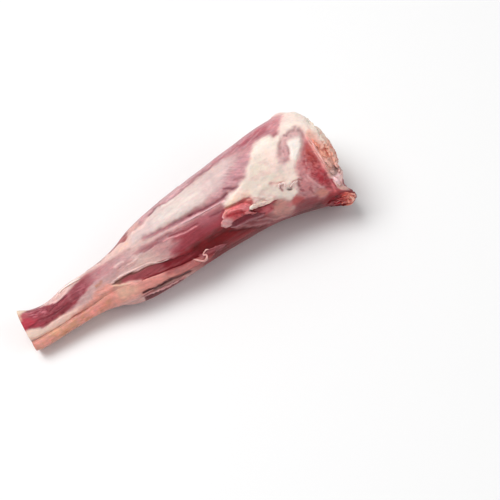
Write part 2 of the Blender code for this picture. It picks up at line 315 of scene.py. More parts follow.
# Paints, as 8-bit values.
CREAM, IVORY, WHITE, PALE = (244, 224, 212), (252, 230, 218), (250, 236, 228), (216, 190, 186)
SILVER, LEAN = (206, 170, 163), (158, 64, 74)
WINE_AND_SHADE, SLIT_SHADE, SALMON, TAN = (106, 8, 14), (134, 82, 72), (218, 148, 136), (210, 154, 132)

# Marks of the shown side: kind, softness, paint, strength, lift in mm, and along-across points.
# An area fills its outline and a line follows its run. A kind of three numbers fills its outline with
# streaks of that length and width, turned by that angle.
SHOWN_MARKS = (
    # red muscle strip of the thin end
    ("area", 1.2, (152, 62, 72), 1, -0.3, (
        (-6, 13), (3, 13.5), (8, 13.5), (12, 12.3), (18, 10.5), (24, 9), (27, 8.2), (30, 6.8), (33, 6.6), (36, 7),
        (40, 8.3), (46, 10), (52, 11.5), (60, 12.8), (70, 13.2), (80, 12), (92, 9), (80, 6), (72, 4.8), (62, 4.3),
        (57, 3), (54, 1), (50, -1), (45, -2.5), (38, -3.5), (30, -4.6), (22, -4.8), (16, -4.8), (10, -3.5), (5, -1.5),
        (-1, 0.5), (-6, 0.5))),
    ("area", 8, (184, 130, 133), 1, 0.1, ((64, 0), (64, 16), (80, 17), (102, 12), (100, 3), (80, 1))),
    ("area", 1.8, (136, 58, 70), 0.6, -0.1, (
        (46, -0.5), (45, 5), (48, 9), (54, 11), (59, 10), (60, 6), (57, 4), (54, 2), (50, -1))),
    ("area", 1.8, (168, 98, 106), 0.5, 0.1, ((40.5, 1), (41.5, 4), (42, 8.5), (45, 9), (44, 4), (43.5, 0))),
    ("area", 2.4, (192, 56, 74), 0.9, 0.2, (
        (-5, 1.5), (-5, 8.5), (2, 9.6), (6, 7.4), (9, 4.5), (12, 2.5), (9, 0.5), (4, 0.6))),
    ("area", 1.4, (202, 100, 108), 0.8, 0.2, ((-5, 9.5), (2, 10), (6, 9), (8, 12.5), (2, 13.5), (-5, 12.5))),
    ("area", 1.5, (200, 118, 128), 0.85, 0.3, (
        (6, 12.4), (12, 11), (18, 9.2), (22, 7.2), (20, 3.4), (15, 4), (9, 7))),
    ((3.5, 0.8, -25), 1, (142, 44, 58), 0.85, -0.3, ((7, 12.8), (12, 11.4), (24, 8), (22, 2), (14, 3), (8, 7))),
    ("area", 2.2, (168, 64, 78), 0.8, 0.1, ((8, 1.5), (14, 0), (18, -3.6), (12, -3.8), (6, -1))),
    ((2, 1.1, 15), 1.2, (108, 30, 44), 0.8, -0.15, (
        (12, 1), (20, 2), (40, 3), (44, -1), (36, -4), (22, -4.4), (12, -2))),
    ((3, 1.1, -10), 1.5, (176, 96, 106), 0.5, 0.1, (
        (24, 2), (42, 8), (60, 11), (76, 11), (70, 5), (52, 1), (34, -2))),
    ("area", 2.2, (124, 42, 52), 0.75, -0.2, ((24, -1.5), (26, 1.5), (36, 2.6), (42, 1), (41, -1.8), (32, -2.6))),
    ((1.1, 0.9, -20), 0.8, (122, 32, 48), 0.85, -0.15, (
        (8, 13), (14, 11), (24, 8), (34, 5.6), (37, 2), (28, 2.4), (18, 5.4), (9, 9.4))),
    ("line", 0.6, (132, 44, 54), 0.8, -0.3, ((6, 13), (10, 12.2), (14, 10.8), (20, 9.6), (23, 8.5), (23.5, 6))),
    ("line", 0.8, (116, 36, 46), 0.85, -0.4, ((23, 4), (28, 5), (31, 6), (36, 6.6), (41, 7.4))),
    ("line", 0.8, (120, 34, 46), 0.6, -0.2, ((3, 0.6), (8, 0.8), (13, 1.6), (19, 0.8), (26, -0.6))),
    ("line", 0.8, (146, 92, 88), 0.6, -0.2, ((15, -4.4), (24, -4.8), (33, -4.5))),
    ("area", 1.6, (188, 130, 134), 0.8, 0, (
        (32, -4.9), (34, -3.6), (41, -2.8), (47, -1.8), (54, 1), (62, 3), (60, 0), (50, -4))),
    # pale rim over it, and the loose edge of skin
    ("area", 1, (238, 208, 184), 0.95, 0.2, ((-6, 12.6), (1, 13), (6, 13.6), (9, 14), (6, 20), (-6, 20))),
    ("area", 0.9, (214, 172, 148), 0.8, 0.1, ((-6, 7.6), (0.4, 8), (1.4, 11), (2.4, 14), (-6, 15))),
    ("area", 1.1, (216, 176, 170), 1, 0.2, (
        (9, 13.2), (16, 11.3), (22, 9.9), (27, 8.7), (31, 7.4), (36, 7.7), (41, 9), (46, 10.8), (52, 12.3),
        (60, 13.5), (75, 13.6), (92, 14.5), (98, 26), (30, 20), (9, 18))),
    ((2.4, 1.3, 0), 1, (196, 146, 146), 0.6, -0.15, ((14, 11.5), (24, 9.5), (35, 8.4), (42, 12), (28, 14), (14, 14))),
    ("line", 0.7, (240, 198, 194), 0.7, 0.3, ((26, 8.6), (31, 7.8), (36, 8.3), (41, 9.6), (46, 11.4))),
    ("area", 1.6, (255, 232, 222), 0.95, 0.2, ((43, 11.8), (47, 12.4), (54, 13.6), (60, 15.5), (47, 15.4))),
    # painted shadow under the loose edge of skin
    ("line", 0.5, (150, 122, 114), 0.7, -0.2, ((37, 13.3), (40, 14.2), (44, 14.9), (50, 15.7), (56, 16.2))),
    ("line", 0.5, (124, 90, 86), 0.7, -0.2, ((75, 16.6), (84, 17.6), (90, 19.3), (95, 21))),
    ((1.6, 1, -20), 1, (136, 56, 70), 0.95, -0.2, (
        (8, 14), (14, 11.6), (24, 9.4), (33, 7), (42, 8.6), (42, 6.4), (33, 5.6), (24, 6.4), (14, 8), (8, 11))),
    ((1.4, 1, 10), 0.9, (246, 214, 206), 0.7, 0.2, (
        (9, 16), (14, 12.4), (24, 10.4), (36, 9.4), (52, 14), (80, 15), (80, 18), (9, 18))),
    # cream strip and the groove above the heel band
    ("area", 1.1, (255, 218, 202), 1, 0.4, (
        (-6, -1.5), (-1, -0.8), (3, -2), (8, -4.2), (12, -5.2), (18, -5.3), (30, -5.3), (38, -5), (46, -5),
        (41, -7.6), (36, -8.8), (28, -9.4), (12, -9.6), (5, -9.1), (0, -8), (-6, -6.2))),
    ("area", 2.6, (248, 202, 190), 0.8, 0, ((17, -5.4), (38, -5), (47, -5.2), (38, -9), (17, -9.6))),
    ("line", 0.8, (250, 204, 182), 0.85, 0.4, (
        (-4, -6.8), (0, -8.4), (4, -9.6), (8, -10), (14, -10.1), (28, -9.9), (36, -9.4), (43, -8.8))),
    ("area", 3.4, (202, 162, 160), 0.9, 0, (
        (44, -4.6), (52, -0.5), (62, 3), (74, 4), (82, 2), (72, 0), (66, -1), (60, -4), (54, -6.5))),
    ((3, 1, 0), 1.2, (224, 192, 186), 0.5, 0.1, ((44, -3), (52, 0), (64, 3), (64, -2), (56, -6))),
    # salmon sheath of the heel
    ("area", 2.4, SALMON, 1, 0, (
        (36, -9), (46, -8), (54, -6.8), (60, -4), (66, -0.8), (72, -0.4), (76, -2.5), (77.4, -4.8), (83, -7),
        (94, -11.4), (110, -14.6), (124, -16.4), (142, -18.6), (153, -19), (153, -27), (130, -26.6), (105, -23.6),
        (92, -23.4), (90, -36), (60, -30), (36, -24))),
    ((10, 2.8, 0), 2, (228, 148, 138), 0.5, 0, (
        (-5, -10), (36, -10.5), (60, -6), (76, -1), (76, -12), (60, -18), (-5, -19))),
    ((7, 2.6, 4), 2, TAN, 0.55, 0, ((10, -10), (36, -10.5), (66, -3), (90, -9), (90, -20), (60, -21), (10, -21))),
    ((3, 1.6, 0), 1.8, (190, 122, 98), 0.45, -0.05, ((8, -14), (46, -14.5), (70, -12), (70, -20), (8, -19.5))),
    # painted shade in a small crease of the sheath
    ("area", 3, (194, 126, 108), 0.75, -0.3, ((59, -16.5), (64, -12), (69, -11), (71, -14), (68, -17))),
    ("line", 0.9, (188, 120, 96), 0.7, -0.2, ((65.5, 0.8), (69, 1.4), (71.5, 2.2))),
    ((3.4, 1.6, 0), 1.4, (194, 140, 106), 0.45, -0.05, (
        (0, -11), (36, -11), (62, -8), (76, -12), (60, -19), (0, -19))),
    ("area", 1.4, (224, 170, 132), 0.5, 0, ((12, -11), (20, -10.6), (25, -13), (20, -15.4), (13, -14))),
    ("area", 1.2, (186, 130, 94), 0.6, 0, ((18, -17), (24, -16.2), (27, -17.4), (24, -18.8))),
    ("area", 1.2, (184, 126, 92), 0.6, 0, ((43, -16.4), (48, -16.2), (50, -18), (45, -18.8))),
    ("area", 2.4, (224, 142, 134), 0.6, 0, ((50, -12), (58, -11), (60, -15), (54, -16.4), (49, -15))),
    ("area", 4, (202, 128, 122), 0.6, 0, ((98, -14), (118, -16.4), (118, -22.8), (98, -21))),
    ("line", 2.2, SALMON, 0.3, 1, ((41, -8.7), (50, -8.2), (58, -7.2), (66, -6.6), (76, -6.4))),
    ("line", 0.9, (196, 116, 102), 0.6, -0.2, ((73, -10.2), (77, -11), (80, -10.6))),
    ("area", 3.5, (212, 166, 146), 0.8, 0, ((78, -8), (86, -10.5), (94, -14), (92, -19), (80, -20), (76, -14))),
    ("area", 2.5, (210, 162, 156), 0.9, 0, ((71, -20.5), (84, -21), (93, -23), (92, -36), (70, -30))),
    # silver sheath over the middle
    ((16, 1.2, 2), 3, (222, 194, 188), 0.2, 0.06, (
        (80, -2), (84, 12), (112, 15), (134, 12), (134, 8), (128, -6), (112, -4))),
    ((9, 1.1, 4), 3, (178, 136, 134), 0.22, -0.06, (
        (80, -2), (84, 12), (112, 15), (126, 12), (134, 8), (128, -6), (112, -4))),
    ("area", 7, (196, 142, 143), 0.9, 0, (
        (120, 4), (128, 4.6), (142, 4.4), (150, 3), (146, -6), (136, -11), (128, -9), (121, -2))),
    ("area", 3, (230, 194, 186), 0.85, 0.2, (
        (80, 14), (92, 14.5), (104, 14), (113, 15.5), (118, 21), (110, 23), (98, 22), (84, 20))),
    ((3, 2, 0), 1.8, (230, 190, 160), 0.5, 0.1, ((93, 15.5), (111, 16), (112, 20.5), (97, 21))),
    # painted highlights: soft pale streaks along the sheath
    ("line", 0.8, (238, 208, 200), 0.65, 0.2, ((86, 6.6), (90, 7.6), (94, 7.2))),
    ("line", 0.7, (236, 202, 194), 0.6, 0.2, ((96, 3.6), (101, 3.2), (105, 3.4))),
    ("line", 0.9, (166, 124, 118), 0.6, -0.2, ((86, 3.8), (91, 4.6), (98, 4.6))),
    ("line", 0.9, (170, 126, 122), 0.5, -0.2, ((84, 12.6), (94, 13.6), (104, 13.4))),
    ("area", 2.4, (162, 96, 102), 0.9, -0.2, (
        (104, 8.5), (112, 10), (120, 9.6), (128, 8.6), (136, 8), (150, 7.4), (166, 6.4), (174, 4), (160, 3),
        (150, 3.8), (140, 4.8), (128, 4.8), (118, 4.8), (110, 6))),
    ("line", 1, (144, 92, 98), 0.6, -0.3, ((126, 8.2), (132, 7.4), (138, 6.4))),
    ("line", 0.8, (150, 94, 102), 0.5, -0.3, ((112, 5.4), (118, 5.2), (126, 5.6))),
    ((14, 0.8, -4), 1.8, (194, 134, 138), 0.45, 0.15, ((112, 9), (136, 8), (166, 6), (160, 3.5), (128, 5))),
    ((5, 1, -8), 2, (174, 122, 122), 0.4, -0.1, ((112, 0), (136, 0), (136, -9), (118, -7))),
    # dark nick and salmon edge along the upper side
    ("area", 1.8, (206, 154, 148), 0.9, 0.1, ((107, 23.4), (112, 24), (122, 25.4), (124, 32), (106, 30))),
    ("line", 0.9, (130, 74, 74), 0.85, -0.4, ((88, 18.9), (93, 20.2), (98, 21.8), (103, 23.6), (108, 25.8))),
    ("area", 0.9, (148, 68, 70), 0.9, -0.4, (
        (99, 21.6), (101.5, 20.9), (104, 21.2), (107.5, 23.4), (106, 25), (100, 24))),
    ("line", 0.6, (180, 98, 96), 0.7, 0.2, ((100, 22.6), (104, 23.2), (107, 24.4))),
    ("area", 1.8, (198, 144, 149), 0.95, 0.2, (
        (121, 25.4), (131, 28), (142, 30.4), (160, 31.6), (176, 34), (204, 37.2), (204, 48), (120, 40))),
    ((14, 0.9, 8), 1.6, (160, 118, 126), 0.6, -0.15, (
        (120, 26), (142, 31), (176, 34.6), (204, 38), (204, 46), (120, 36))),
    # pale belly, with the silverskin's broad sheen painted in
    ("area", 1.8, PALE, 1, 0.4, (
        (108, 16), (120, 15.2), (127, 14.9), (134, 15.6), (150, 14.6), (165, 14.4), (180, 16), (196, 21), (205, 27),
        (212, 35), (204, 36), (190, 34), (172, 32.4), (160, 31.2), (142, 29.8), (130, 27.4), (120, 24),
        (110, 22.6))),
    # painted highlight: the whitish middle of the belly's sheen
    ("area", 6, (226, 210, 202), 0.95, 0.2, (
        (128, 17), (134, 26), (160, 29), (178, 29), (174, 20), (160, 16), (140, 15))),
    ((12, 0.9, 4), 3, (216, 182, 182), 0.4, 0.05, ((120, 17), (130, 26), (160, 30), (190, 32), (190, 20), (160, 15))),
    ("area", 5, (214, 180, 180), 0.8, 0, (
        (180, 15), (188, 20), (200, 26), (208, 36), (218, 36), (210, 25), (196, 18))),
    ("area", 3.5, (198, 142, 148), 0.95, 0, (
        (163, 12), (178, 14.4), (196, 19), (206, 25), (216, 33), (228, 36), (236, 36), (228, 30), (222, 24.5),
        (215, 16.5), (205, 12), (192, 10.5), (176, 10))),
    ((12, 1, -30), 3.5, (214, 166, 170), 0.35, 0.05, (
        (168, 12), (188, 20), (204, 32), (218, 36), (224, 28), (212, 15), (190, 10.5))),
    ((9, 0.9, -32), 3.5, (166, 110, 120), 0.35, -0.08, (
        (178, 12), (194, 20), (206, 30), (218, 34), (216, 16), (200, 11), (186, 10))),
    ("line", 1.1, (132, 70, 80), 0.8, -0.6, ((193, 15.5), (196, 14), (199.5, 12.2), (204, 11.4))),
    ("line", 1, (156, 100, 104), 0.6, -0.4, ((205, 17.4), (209, 16.4), (213, 14.6))),
    ("line", 0.9, (246, 208, 200), 0.7, 0.2, ((112, 22.4), (118, 23), (126, 25), (131, 27.2))),
    ("line", 0.8, (130, 84, 88), 0.8, -0.5, ((130, 28.6), (136, 29.9), (142, 30.5))),
    ("line", 0.8, (162, 112, 118), 0.7, -0.4, ((142, 30.4), (160, 31.6), (172, 33.4), (186, 35.8), (206, 37.4))),
    # painted highlight along the muscle strip's edge
    ("line", 0.7, (236, 186, 190), 0.7, 0.2, ((149, 31.4), (158, 32.8), (169, 34.4))),
    ("line", 0.7, (244, 226, 216), 0.7, 0.2, ((144, 28.6), (149, 28), (154, 28.6))),
    # furrow under the belly and its pink rim
    ("area", 2, (176, 114, 120), 0.85, -0.3, (
        (126, 14.4), (134, 14), (146, 13.8), (166, 13), (178, 11.6), (188, 10.6), (160, 10.4), (140, 11.6))),
    ("line", 1.7, (154, 92, 102), 0.7, -0.6, (
        (118, 15.3), (124, 14.8), (130, 13.8), (140, 12.6), (147, 12), (160, 10.9))),
    ("line", 1.3, (134, 66, 78), 0.85, -0.8, ((158, 11), (170, 10.3), (178, 9.8), (187, 9.4), (193, 10.6))),
    ("line", 1.2, (212, 164, 166), 0.75, 0.3, ((126, 10.6), (136, 10.2), (146, 9.6), (160, 8.7))),
    ("line", 1, (232, 178, 184), 0.9, 0.4, ((150, 9.2), (160, 8.6), (170, 8), (180, 7.5), (188, 7.4))),
    # open lean meat
    ("area", 4.6, LEAN, 1, 0, (
        (139, 3), (137, 0.4), (142, -2), (138, -4.2), (132, -5.4), (131, -8), (136, -11.6), (150, -12), (190, -12),
        (186, 4), (172, 5), (150, 3.4))),
    ("area", 4, (166, 96, 104), 0.85, 0, ((156, 2), (164, -2), (176, -3), (180, 2), (174, 6), (160, 4))),
    # wine-red lean, painted darker than the muscle itself as shade where the leg turns under
    ("area", 3.4, WINE_AND_SHADE, 1, -0.4, (
        (118, -10), (130, -12), (138, -12), (150, -10.6), (165, -10), (178, -10), (190, -14), (214, -29), (200, -34),
        (175, -34), (150, -30), (120, -20))),
    ((6, 1.2, -6), 2.5, (158, 28, 40), 0.5, 0.1, (
        (132, -8), (160, -8), (184, -10), (192, -17), (160, -16), (134, -14))),
    ("area", 3, (134, 18, 28), 0.7, 0.2, ((172, -19), (184, -20.5), (200, -25.4), (198, -27), (172, -26))),
    ("line", 0.9, (84, 10, 16), 0.8, -0.4, ((180, -16.6), (190, -20.6), (200, -24.8), (214, -29.5))),
    ("line", 0.8, (134, 52, 62), 0.8, -0.3, ((136, 4.8), (145, 3.7), (153, 3), (161, 2))),
    # painted highlight: a thin pink line of light along the top of the lean
    ("line", 0.55, (240, 162, 168), 0.85, 0.35, (
        (130, 5), (134, 3.9), (137, 3.5), (140, 2.4), (146, 1.9), (150, 1.3), (153, 1.5), (157, 0.8), (159, 0.4))),
    ("area", 2.2, (156, 98, 103), 0.8, -0.3, (
        (173, 4.6), (178, 5.4), (187, 5.4), (187, 2.4), (183, 0.6), (177, -0.6), (175, 2))),
    ("line", 0.9, (104, 40, 50), 0.7, -0.3, ((172, 2.6), (178, 1.6), (184, 1.4))),
    # long gap between the strap and the meat
    ("area", 0.9, (154, 72, 78), 1, -1.4, (
        (77, -4.2), (80, -3.2), (86, -2.9), (93, -3.7), (100, -4.4), (108, -5.4), (112, -6.6), (116, -8), (122, -9.8),
        (128, -11.6), (140, -14), (150, -17), (142, -18.3), (135, -17.8), (130, -17.2), (124, -15.8), (118, -15.2),
        (110, -14), (104, -13.2), (98, -11.5), (93, -10), (88, -8), (83, -6.3), (79, -5))),
    ("area", 2.2, (132, 22, 34), 0.95, 0, (
        (119, -9), (124, -10), (132, -12), (146, -15), (150, -19), (134, -18), (122, -15.4))),
    # painted shade inside the gap: along its upper edge, at its tip and at its right end
    ("line", 0.6, SLIT_SHADE, 0.9, -0.3, (
        (77.5, -4.2), (80, -3.8), (86, -3.6), (93, -4.3), (100, -5), (108, -6), (113, -7.6))),
    ("area", 1, (136, 92, 80), 0.9, 0, ((77, -4.2), (80, -3), (84, -3), (86, -6), (82, -6.4), (79, -5))),
    ("line", 0.9, (96, 24, 30), 0.8, -0.3, ((118, -9), (122, -10.4), (129, -12))),
    ("line", 0.7, (244, 206, 200), 0.95, 0.4, (
        (78, -3.1), (81, -2.1), (86, -1.9), (92, -2.4), (100, -3.3), (108, -4.2), (112, -5), (116, -6.8))),
    ("line", 0.7, (214, 166, 164), 0.7, 0.2, ((115, -6.3), (119, -8), (125, -9.4))),
    ("line", 0.8, (240, 200, 172), 0.9, 0.3, ((77, -5.2), (80, -6.2), (84, -8), (89, -10.4))),
    # painted highlight on the gap's lower lip
    ("line", 0.9, (250, 178, 170), 0.9, 0.3, ((88, -10), (92, -12), (95, -13.2))),
    ("line", 0.9, (220, 150, 142), 0.7, 0.2, ((95, -12.6), (106, -14.7), (120, -16.2), (132, -18))),
    ("area", 4, (184, 118, 114), 0.85, 0, (
        (118, -16.4), (134, -18.4), (154, -19.4), (156, -28), (135, -28), (124, -24))),
    # narrow gaps and thin skin under the strap: the near-black line and the dark patch below it are painted shade in
    # the gaps
    ("line", 0.95, (58, 4, 8), 1, -1.3, (
        (96, -22.8), (99, -22.9), (105, -23.6), (110, -24), (118, -24.6), (126, -25.6), (136, -27))),
    ("line", 0.8, (212, 142, 142), 0.9, 0.2, (
        (94, -24.6), (101, -25), (106, -26.2), (112, -26.7), (120, -27.2), (130, -28.4))),
    ("area", 0.9, (100, 28, 34), 1, -0.8, (
        (93.4, -29), (94.6, -26), (97, -25.4), (105, -26.9), (118, -28), (127, -28.8), (135, -31.6), (126, -34),
        (112, -35.4), (101, -34.6), (95.4, -32))),
    # underside of the thick half: its base paint darkened as painted shade, and a painted shadow along its lower edge
    ("area", 2.5, (134, 66, 70), 1, 0.2, (
        (181, -12), (190, -13), (204, -16), (216, -21), (232, -29), (246, -30), (262, -32), (266, -60), (214, -60),
        (208, -27), (192, -20), (183, -16))),
    ("area", 4, (172, 120, 112), 0.85, 0, ((214, -21.6), (222, -28), (232, -29), (232, -33), (216, -27))),
    ((16, 1, -25), 1.4, (182, 128, 128), 0.65, 0.25, (
        (182, -14.5), (196, -17), (216, -22), (232, -30), (226, -33), (200, -23.6))),
    ("line", 0.9, (172, 112, 114), 0.7, 0.3, ((184, -15.6), (190, -18.4), (200, -22.4), (211, -26.4))),
    # painted shadow: near-black along the underside's lower edge
    ("area", 3, (86, 20, 22), 0.95, 0, ((214, -31), (232, -32), (256, -33), (256, -60), (200, -60))),
    # red muscle strip on the upper edge of the thick end
    ("area", 3, (184, 122, 130), 0.95, 0.5, (
        (196, 37), (216, 35.6), (232, 34.4), (242, 35), (247, 33), (249.5, 31.4), (252.5, 31.4), (256, 34.4),
        (259, 38), (261, 43), (256, 54), (196, 54))),
    ("area", 2.2, (184, 88, 100), 0.85, 0, (
        (222, 39), (242, 39.6), (252, 39.4), (262, 41.4), (265, 43), (258, 43.8), (246, 43.6), (226, 42.8))),
    ("area", 5, (204, 130, 136), 0.6, 0, ((250, 35), (258, 37), (268, 45), (260, 49), (246, 45))),
    ((7, 1.2, 8), 2, (164, 86, 96), 0.5, -0.2, ((212, 37), (240, 37), (254, 35), (258, 42), (240, 43.4), (216, 42))),
    ("line", 1.4, (160, 98, 102), 0.7, -0.4, ((249, 32.8), (253, 32.6))),
    ((8, 1, 10), 2, (216, 172, 174), 0.4, 0.15, ((200, 37.4), (226, 36), (250, 35), (256, 40), (230, 43), (200, 42))),
    # fat cover
    ("area", 2.4, CREAM, 1, 1.3, (
        (276, 50), (268, 45.4), (262, 41.6), (258, 37.6), (255.4, 34), (253, 31), (249, 31), (246, 33.4), (242, 34.5),
        (238, 34.5), (232, 34), (228, 31.5), (225, 30), (224.6, 26), (221, 23.6), (218, 21.5), (216, 18), (214.5, 15),
        (211, 13), (206, 11.4), (200, 9.8), (193, 8.8), (188.6, 7), (186.4, 5), (186, 3), (190, 2), (196, 1),
        (203, 1), (208, -0.4), (207, -4), (202, -6), (202.6, -9), (208, -9.6), (214, -11), (219, -12.6), (226, -13.6),
        (231, -16.6), (236, -19.6), (241, -18.6), (247, -22), (262, -24), (274, -12), (274, 18), (290, 8), (290, 60),
        (276, 60))),
    ("area", 3, IVORY, 0.9, 0.3, (
        (254, 32), (264, 41), (274, 50), (290, 60), (290, 7), (279, 7), (276, 16), (273, 26), (268, 29.6),
        (258, 30.4))),
    # painted shade: grey-green where the fat turns away over the knuckle
    ("area", 2, (214, 212, 196), 0.8, 0, (
        (282, 4), (281, 14), (280.4, 22), (278, 30), (280, 34), (290, 24), (288, 5))),
    ("area", 5, (230, 172, 172), 0.4, 0, ((252, 32), (262, 39), (272, 49), (262, 50), (250, 40))),
    ("area", 4, (250, 234, 222), 0.8, 0.3, ((229, 28), (236, 33), (246, 32.6), (246, 26), (238, 23), (230, 24))),
    ("area", 5, (228, 210, 196), 0.7, 0, (
        (206, 8), (218, 20), (230, 27), (240, 20), (236, 2), (226, -4), (214, 0), (206, 4))),
    ("area", 4, (250, 218, 208), 0.75, 0.2, (
        (236, 24), (244, 20), (242, 10), (248, 2), (246, -5), (236, -3), (232, 8))),
    ("area", 2.6, (240, 186, 168), 0.6, 0, ((193, 4.6), (203, 6), (209, 2), (206, -1), (196, 0.4))),
    ((3.4, 1.3, -22), 1.5, (222, 156, 158), 0.7, 0.3, (
        (203, -2.4), (210, -2), (219, -6), (227, -11.6), (221, -12), (212, -9), (205, -6))),
    ((2.4, 1, -22), 1.2, (250, 234, 226), 0.7, 0.4, (
        (204, -1), (211, -2), (222, -8), (228, -12), (214, -9), (205, -5))),
    ("area", 1.8, (240, 206, 180), 0.6, 0.2, ((187, 3), (190, 2.2), (200, 3.4), (198, 6.4), (189, 6))),
    # painted shade: a grey patch in a hollow of the fat
    ("area", 3, (212, 192, 184), 0.7, -0.3, ((233.6, 4), (238, 9), (243.4, 8), (242, 3.4), (238, 3))),
    ((9, 5, 20), 3, (246, 228, 216), 0.45, 0.1, (
        (196, 3), (214, 14), (230, 28), (246, 28), (246, -8), (230, -14), (208, -8))),
    ((8, 5, 60), 3, (224, 215, 198), 0.45, 0, (
        (196, 3), (212, 12), (228, 25), (246, 30), (254, 30), (246, 14), (238, -8), (226, -12), (206, -2))),
    ((5, 2.4, -15), 3, (228, 190, 182), 0.45, -0.1, (
        (196, 4), (214, 13), (230, 24), (240, 4), (238, -10), (224, -12), (208, -6))),
    ("line", 1, (206, 152, 148), 0.6, -0.3, ((227, 0.2), (231, -2), (235, -4.2))),
    ("line", 1, (196, 156, 146), 0.5, -0.2, ((213, -6), (217, -8.6))),
    # mottled arch and the white knob inside it
    ("area", 2.2, (212, 168, 168), 0.9, -0.7, (
        (242, 11), (243, 16), (245, 20), (248, 21), (250, 25), (254, 28), (259, 28.5), (267, 28.4), (270.4, 26.5),
        (271.6, 24), (271.6, 19), (270, 17.5), (267, 18), (266, 21), (263, 22.5), (256, 22), (254, 20.5), (253.5, 16),
        (253, 12), (251, 8.6), (248, 8), (245, 7))),
    ("area", 1.8, (222, 164, 166), 0.7, 0.2, ((247, 11), (247.6, 18), (251, 20), (252, 14), (250.6, 10.6))),
    ((2.6, 1.6, 50), 1.6, (164, 120, 122), 0.75, -0.25, (
        (245, 14), (247, 20), (250, 26), (256, 30), (268, 29.6), (271.4, 25), (270, 19), (264, 24), (257, 24),
        (252, 20), (249, 14))),
    ("line", 1, (166, 118, 120), 0.8, -0.5, ((253.6, 21), (253.4, 17), (252.4, 13.6))),
    ("line", 1.3, (146, 110, 110), 0.5, -0.3, ((259, 27), (261.6, 28), (265, 27.2))),
    ("line", 1.3, (150, 112, 112), 0.5, -0.3, ((269, 26), (270.4, 22), (270, 19))),
    ("line", 1.3, (162, 116, 118), 0.5, -0.3, ((247, 10), (250, 9.4))),
    ("line", 1.5, (168, 126, 126), 0.5, -0.3, ((246, 16), (248, 20.6), (250.6, 24.4))),
    ("area", 1.4, WHITE, 1, 1, (
        (254, 20.6), (258, 21), (262, 20), (265.4, 18), (264, 14), (261, 11), (258, 8.6), (255, 6), (252.6, 7.6),
        (253, 12), (254.4, 16))),
    # red muscle at the cut corner, which the fat thins out over
    ("area", 3.4, (204, 136, 138), 1, -1.9, (
        (271, 19), (267, 17), (264, 12), (260, 8), (255, 3.4), (252, 0), (250, -4), (249, -8), (246, -12), (244, -17),
        (241, -21), (243, -28), (250, -32), (262, -35), (276, -34), (276, 10))),
    ("area", 3.4, (184, 92, 94), 0.9, -0.1, (
        (271, 15), (266, 11), (262, 5), (258, -1), (257, -7), (260, -12), (271, -14))),
    ("area", 3.6, (172, 70, 64), 0.95, -0.2, (
        (271, 12), (268, 11), (265, 7), (263.4, 2), (263.4, -2), (265, -5), (269, -6), (271, -3))),
    ("area", 3.6, (180, 60, 68), 0.95, -0.2, (
        (259.6, -12), (264, -10), (271, -11), (270.4, -25), (266, -27), (262, -23), (260.4, -18))),
    ("area", 2, (176, 40, 54), 0.75, -0.1, ((262, -17), (264, -15.4), (267, -19), (265.6, -22.4), (262.6, -21))),
    ((8, 1, 60), 2.5, (214, 160, 160), 0.5, 0.15, ((250, 0), (262, 12), (266, 8), (262, -8), (252, -14))),
    ((2.4, 1.4, -50), 2.5, (148, 72, 78), 0.6, -0.15, (
        (244, -9), (256, -6), (262, -16), (258, -26), (246, -26), (243, -20))),
    ((2.2, 1.2, 50), 2.5, (204, 130, 134), 0.38, 0.15, (
        (252, 4), (262, 10), (271, 14), (271, -24), (262, -26), (256, -14))),
    ((1.6, 1.1, -40), 2, (136, 40, 48), 0.5, -0.15, (
        (258, 2), (266, 8), (271, 10), (271, -26), (262, -28), (258, -14))),
    ((5, 1.2, -60), 2.2, (222, 176, 174), 0.55, 0.15, ((244, -12), (256, -10), (262, -27), (250, -30), (243, -22))),
    ("area", 2.4, (196, 128, 120), 0.6, 0, ((252, -25), (258, -24), (262, -29), (262, -32), (253, -29))),
    ("line", 1.1, (226, 170, 170), 0.8, 0.3, ((255.6, -11), (257.4, -16), (259, -20.4), (261, -24.6), (264, -29))),
    ("area", 2.2, (130, 40, 44), 0.7, -0.2, ((263, -27), (269, -26), (270, -33), (264, -34))),
    # pits and their small ridges
    ("line", 1, (168, 108, 110), 0.8, -0.6, ((234, -4), (231.4, -6.4), (233, -9.6))),
    ("area", 1.2, (250, 212, 206), 0.9, 0.3, ((234, -5), (238, -5.4), (238.4, -9), (235, -9.8), (233.2, -7.6))),
    # painted shade in a pit
    ("line", 0.9, (96, 74, 70), 0.95, -0.7, ((237.6, -11.2), (239.2, -12))),
    ("line", 1.1, (170, 100, 104), 0.8, -0.5, ((240.6, -10.4), (243.6, -8.8), (246.4, -9.8), (246.4, -13.4))),
    # painted highlight inside a pit
    ("area", 1.2, (248, 208, 206), 0.8, 0.3, ((241.4, -12), (244, -11), (245.2, -13.4), (242, -14.4))),
    # cut lean under the fat's lower edge
    ("area", 1, (188, 86, 94), 1, -1.2, (
        (203, -10), (208, -10.6), (213, -11.8), (218, -13.4), (226, -14.6), (222, -18), (219, -20.5), (213, -20.5),
        (208, -18), (204, -16), (200, -13))),
    ((4, 1.4, -25), 1, (128, 30, 40), 0.8, -0.3, (
        (203, -10), (214, -12), (224, -15), (218, -20), (208, -17), (201, -13))),
    ((5, 1, -25), 1, (196, 120, 122), 0.5, 0.2, ((204, -12), (214, -13), (222, -16), (214, -20), (206, -17))),
    ("area", 2.2, (196, 136, 128), 0.95, 0, (
        (218.6, -19), (222, -16.6), (225, -15), (229, -17), (233, -20), (235.4, -21.8), (234, -25.6), (229, -28.4),
        (222, -28), (218.4, -24.6))),
    ("area", 1.6, (206, 124, 128), 0.7, 0, ((230, -21), (235, -22), (234, -25), (230, -25))),
    ("area", 1.7, (190, 84, 84), 0.9, -0.3, (
        (235.4, -20.6), (237, -18.6), (240, -19), (241.8, -22), (244.4, -24.6), (243.4, -27.6), (240.6, -28.4),
        (238.6, -30.6), (235.6, -27.6), (233.8, -25))),
    ("area", 2.2, (138, 58, 64), 0.8, -0.2, (
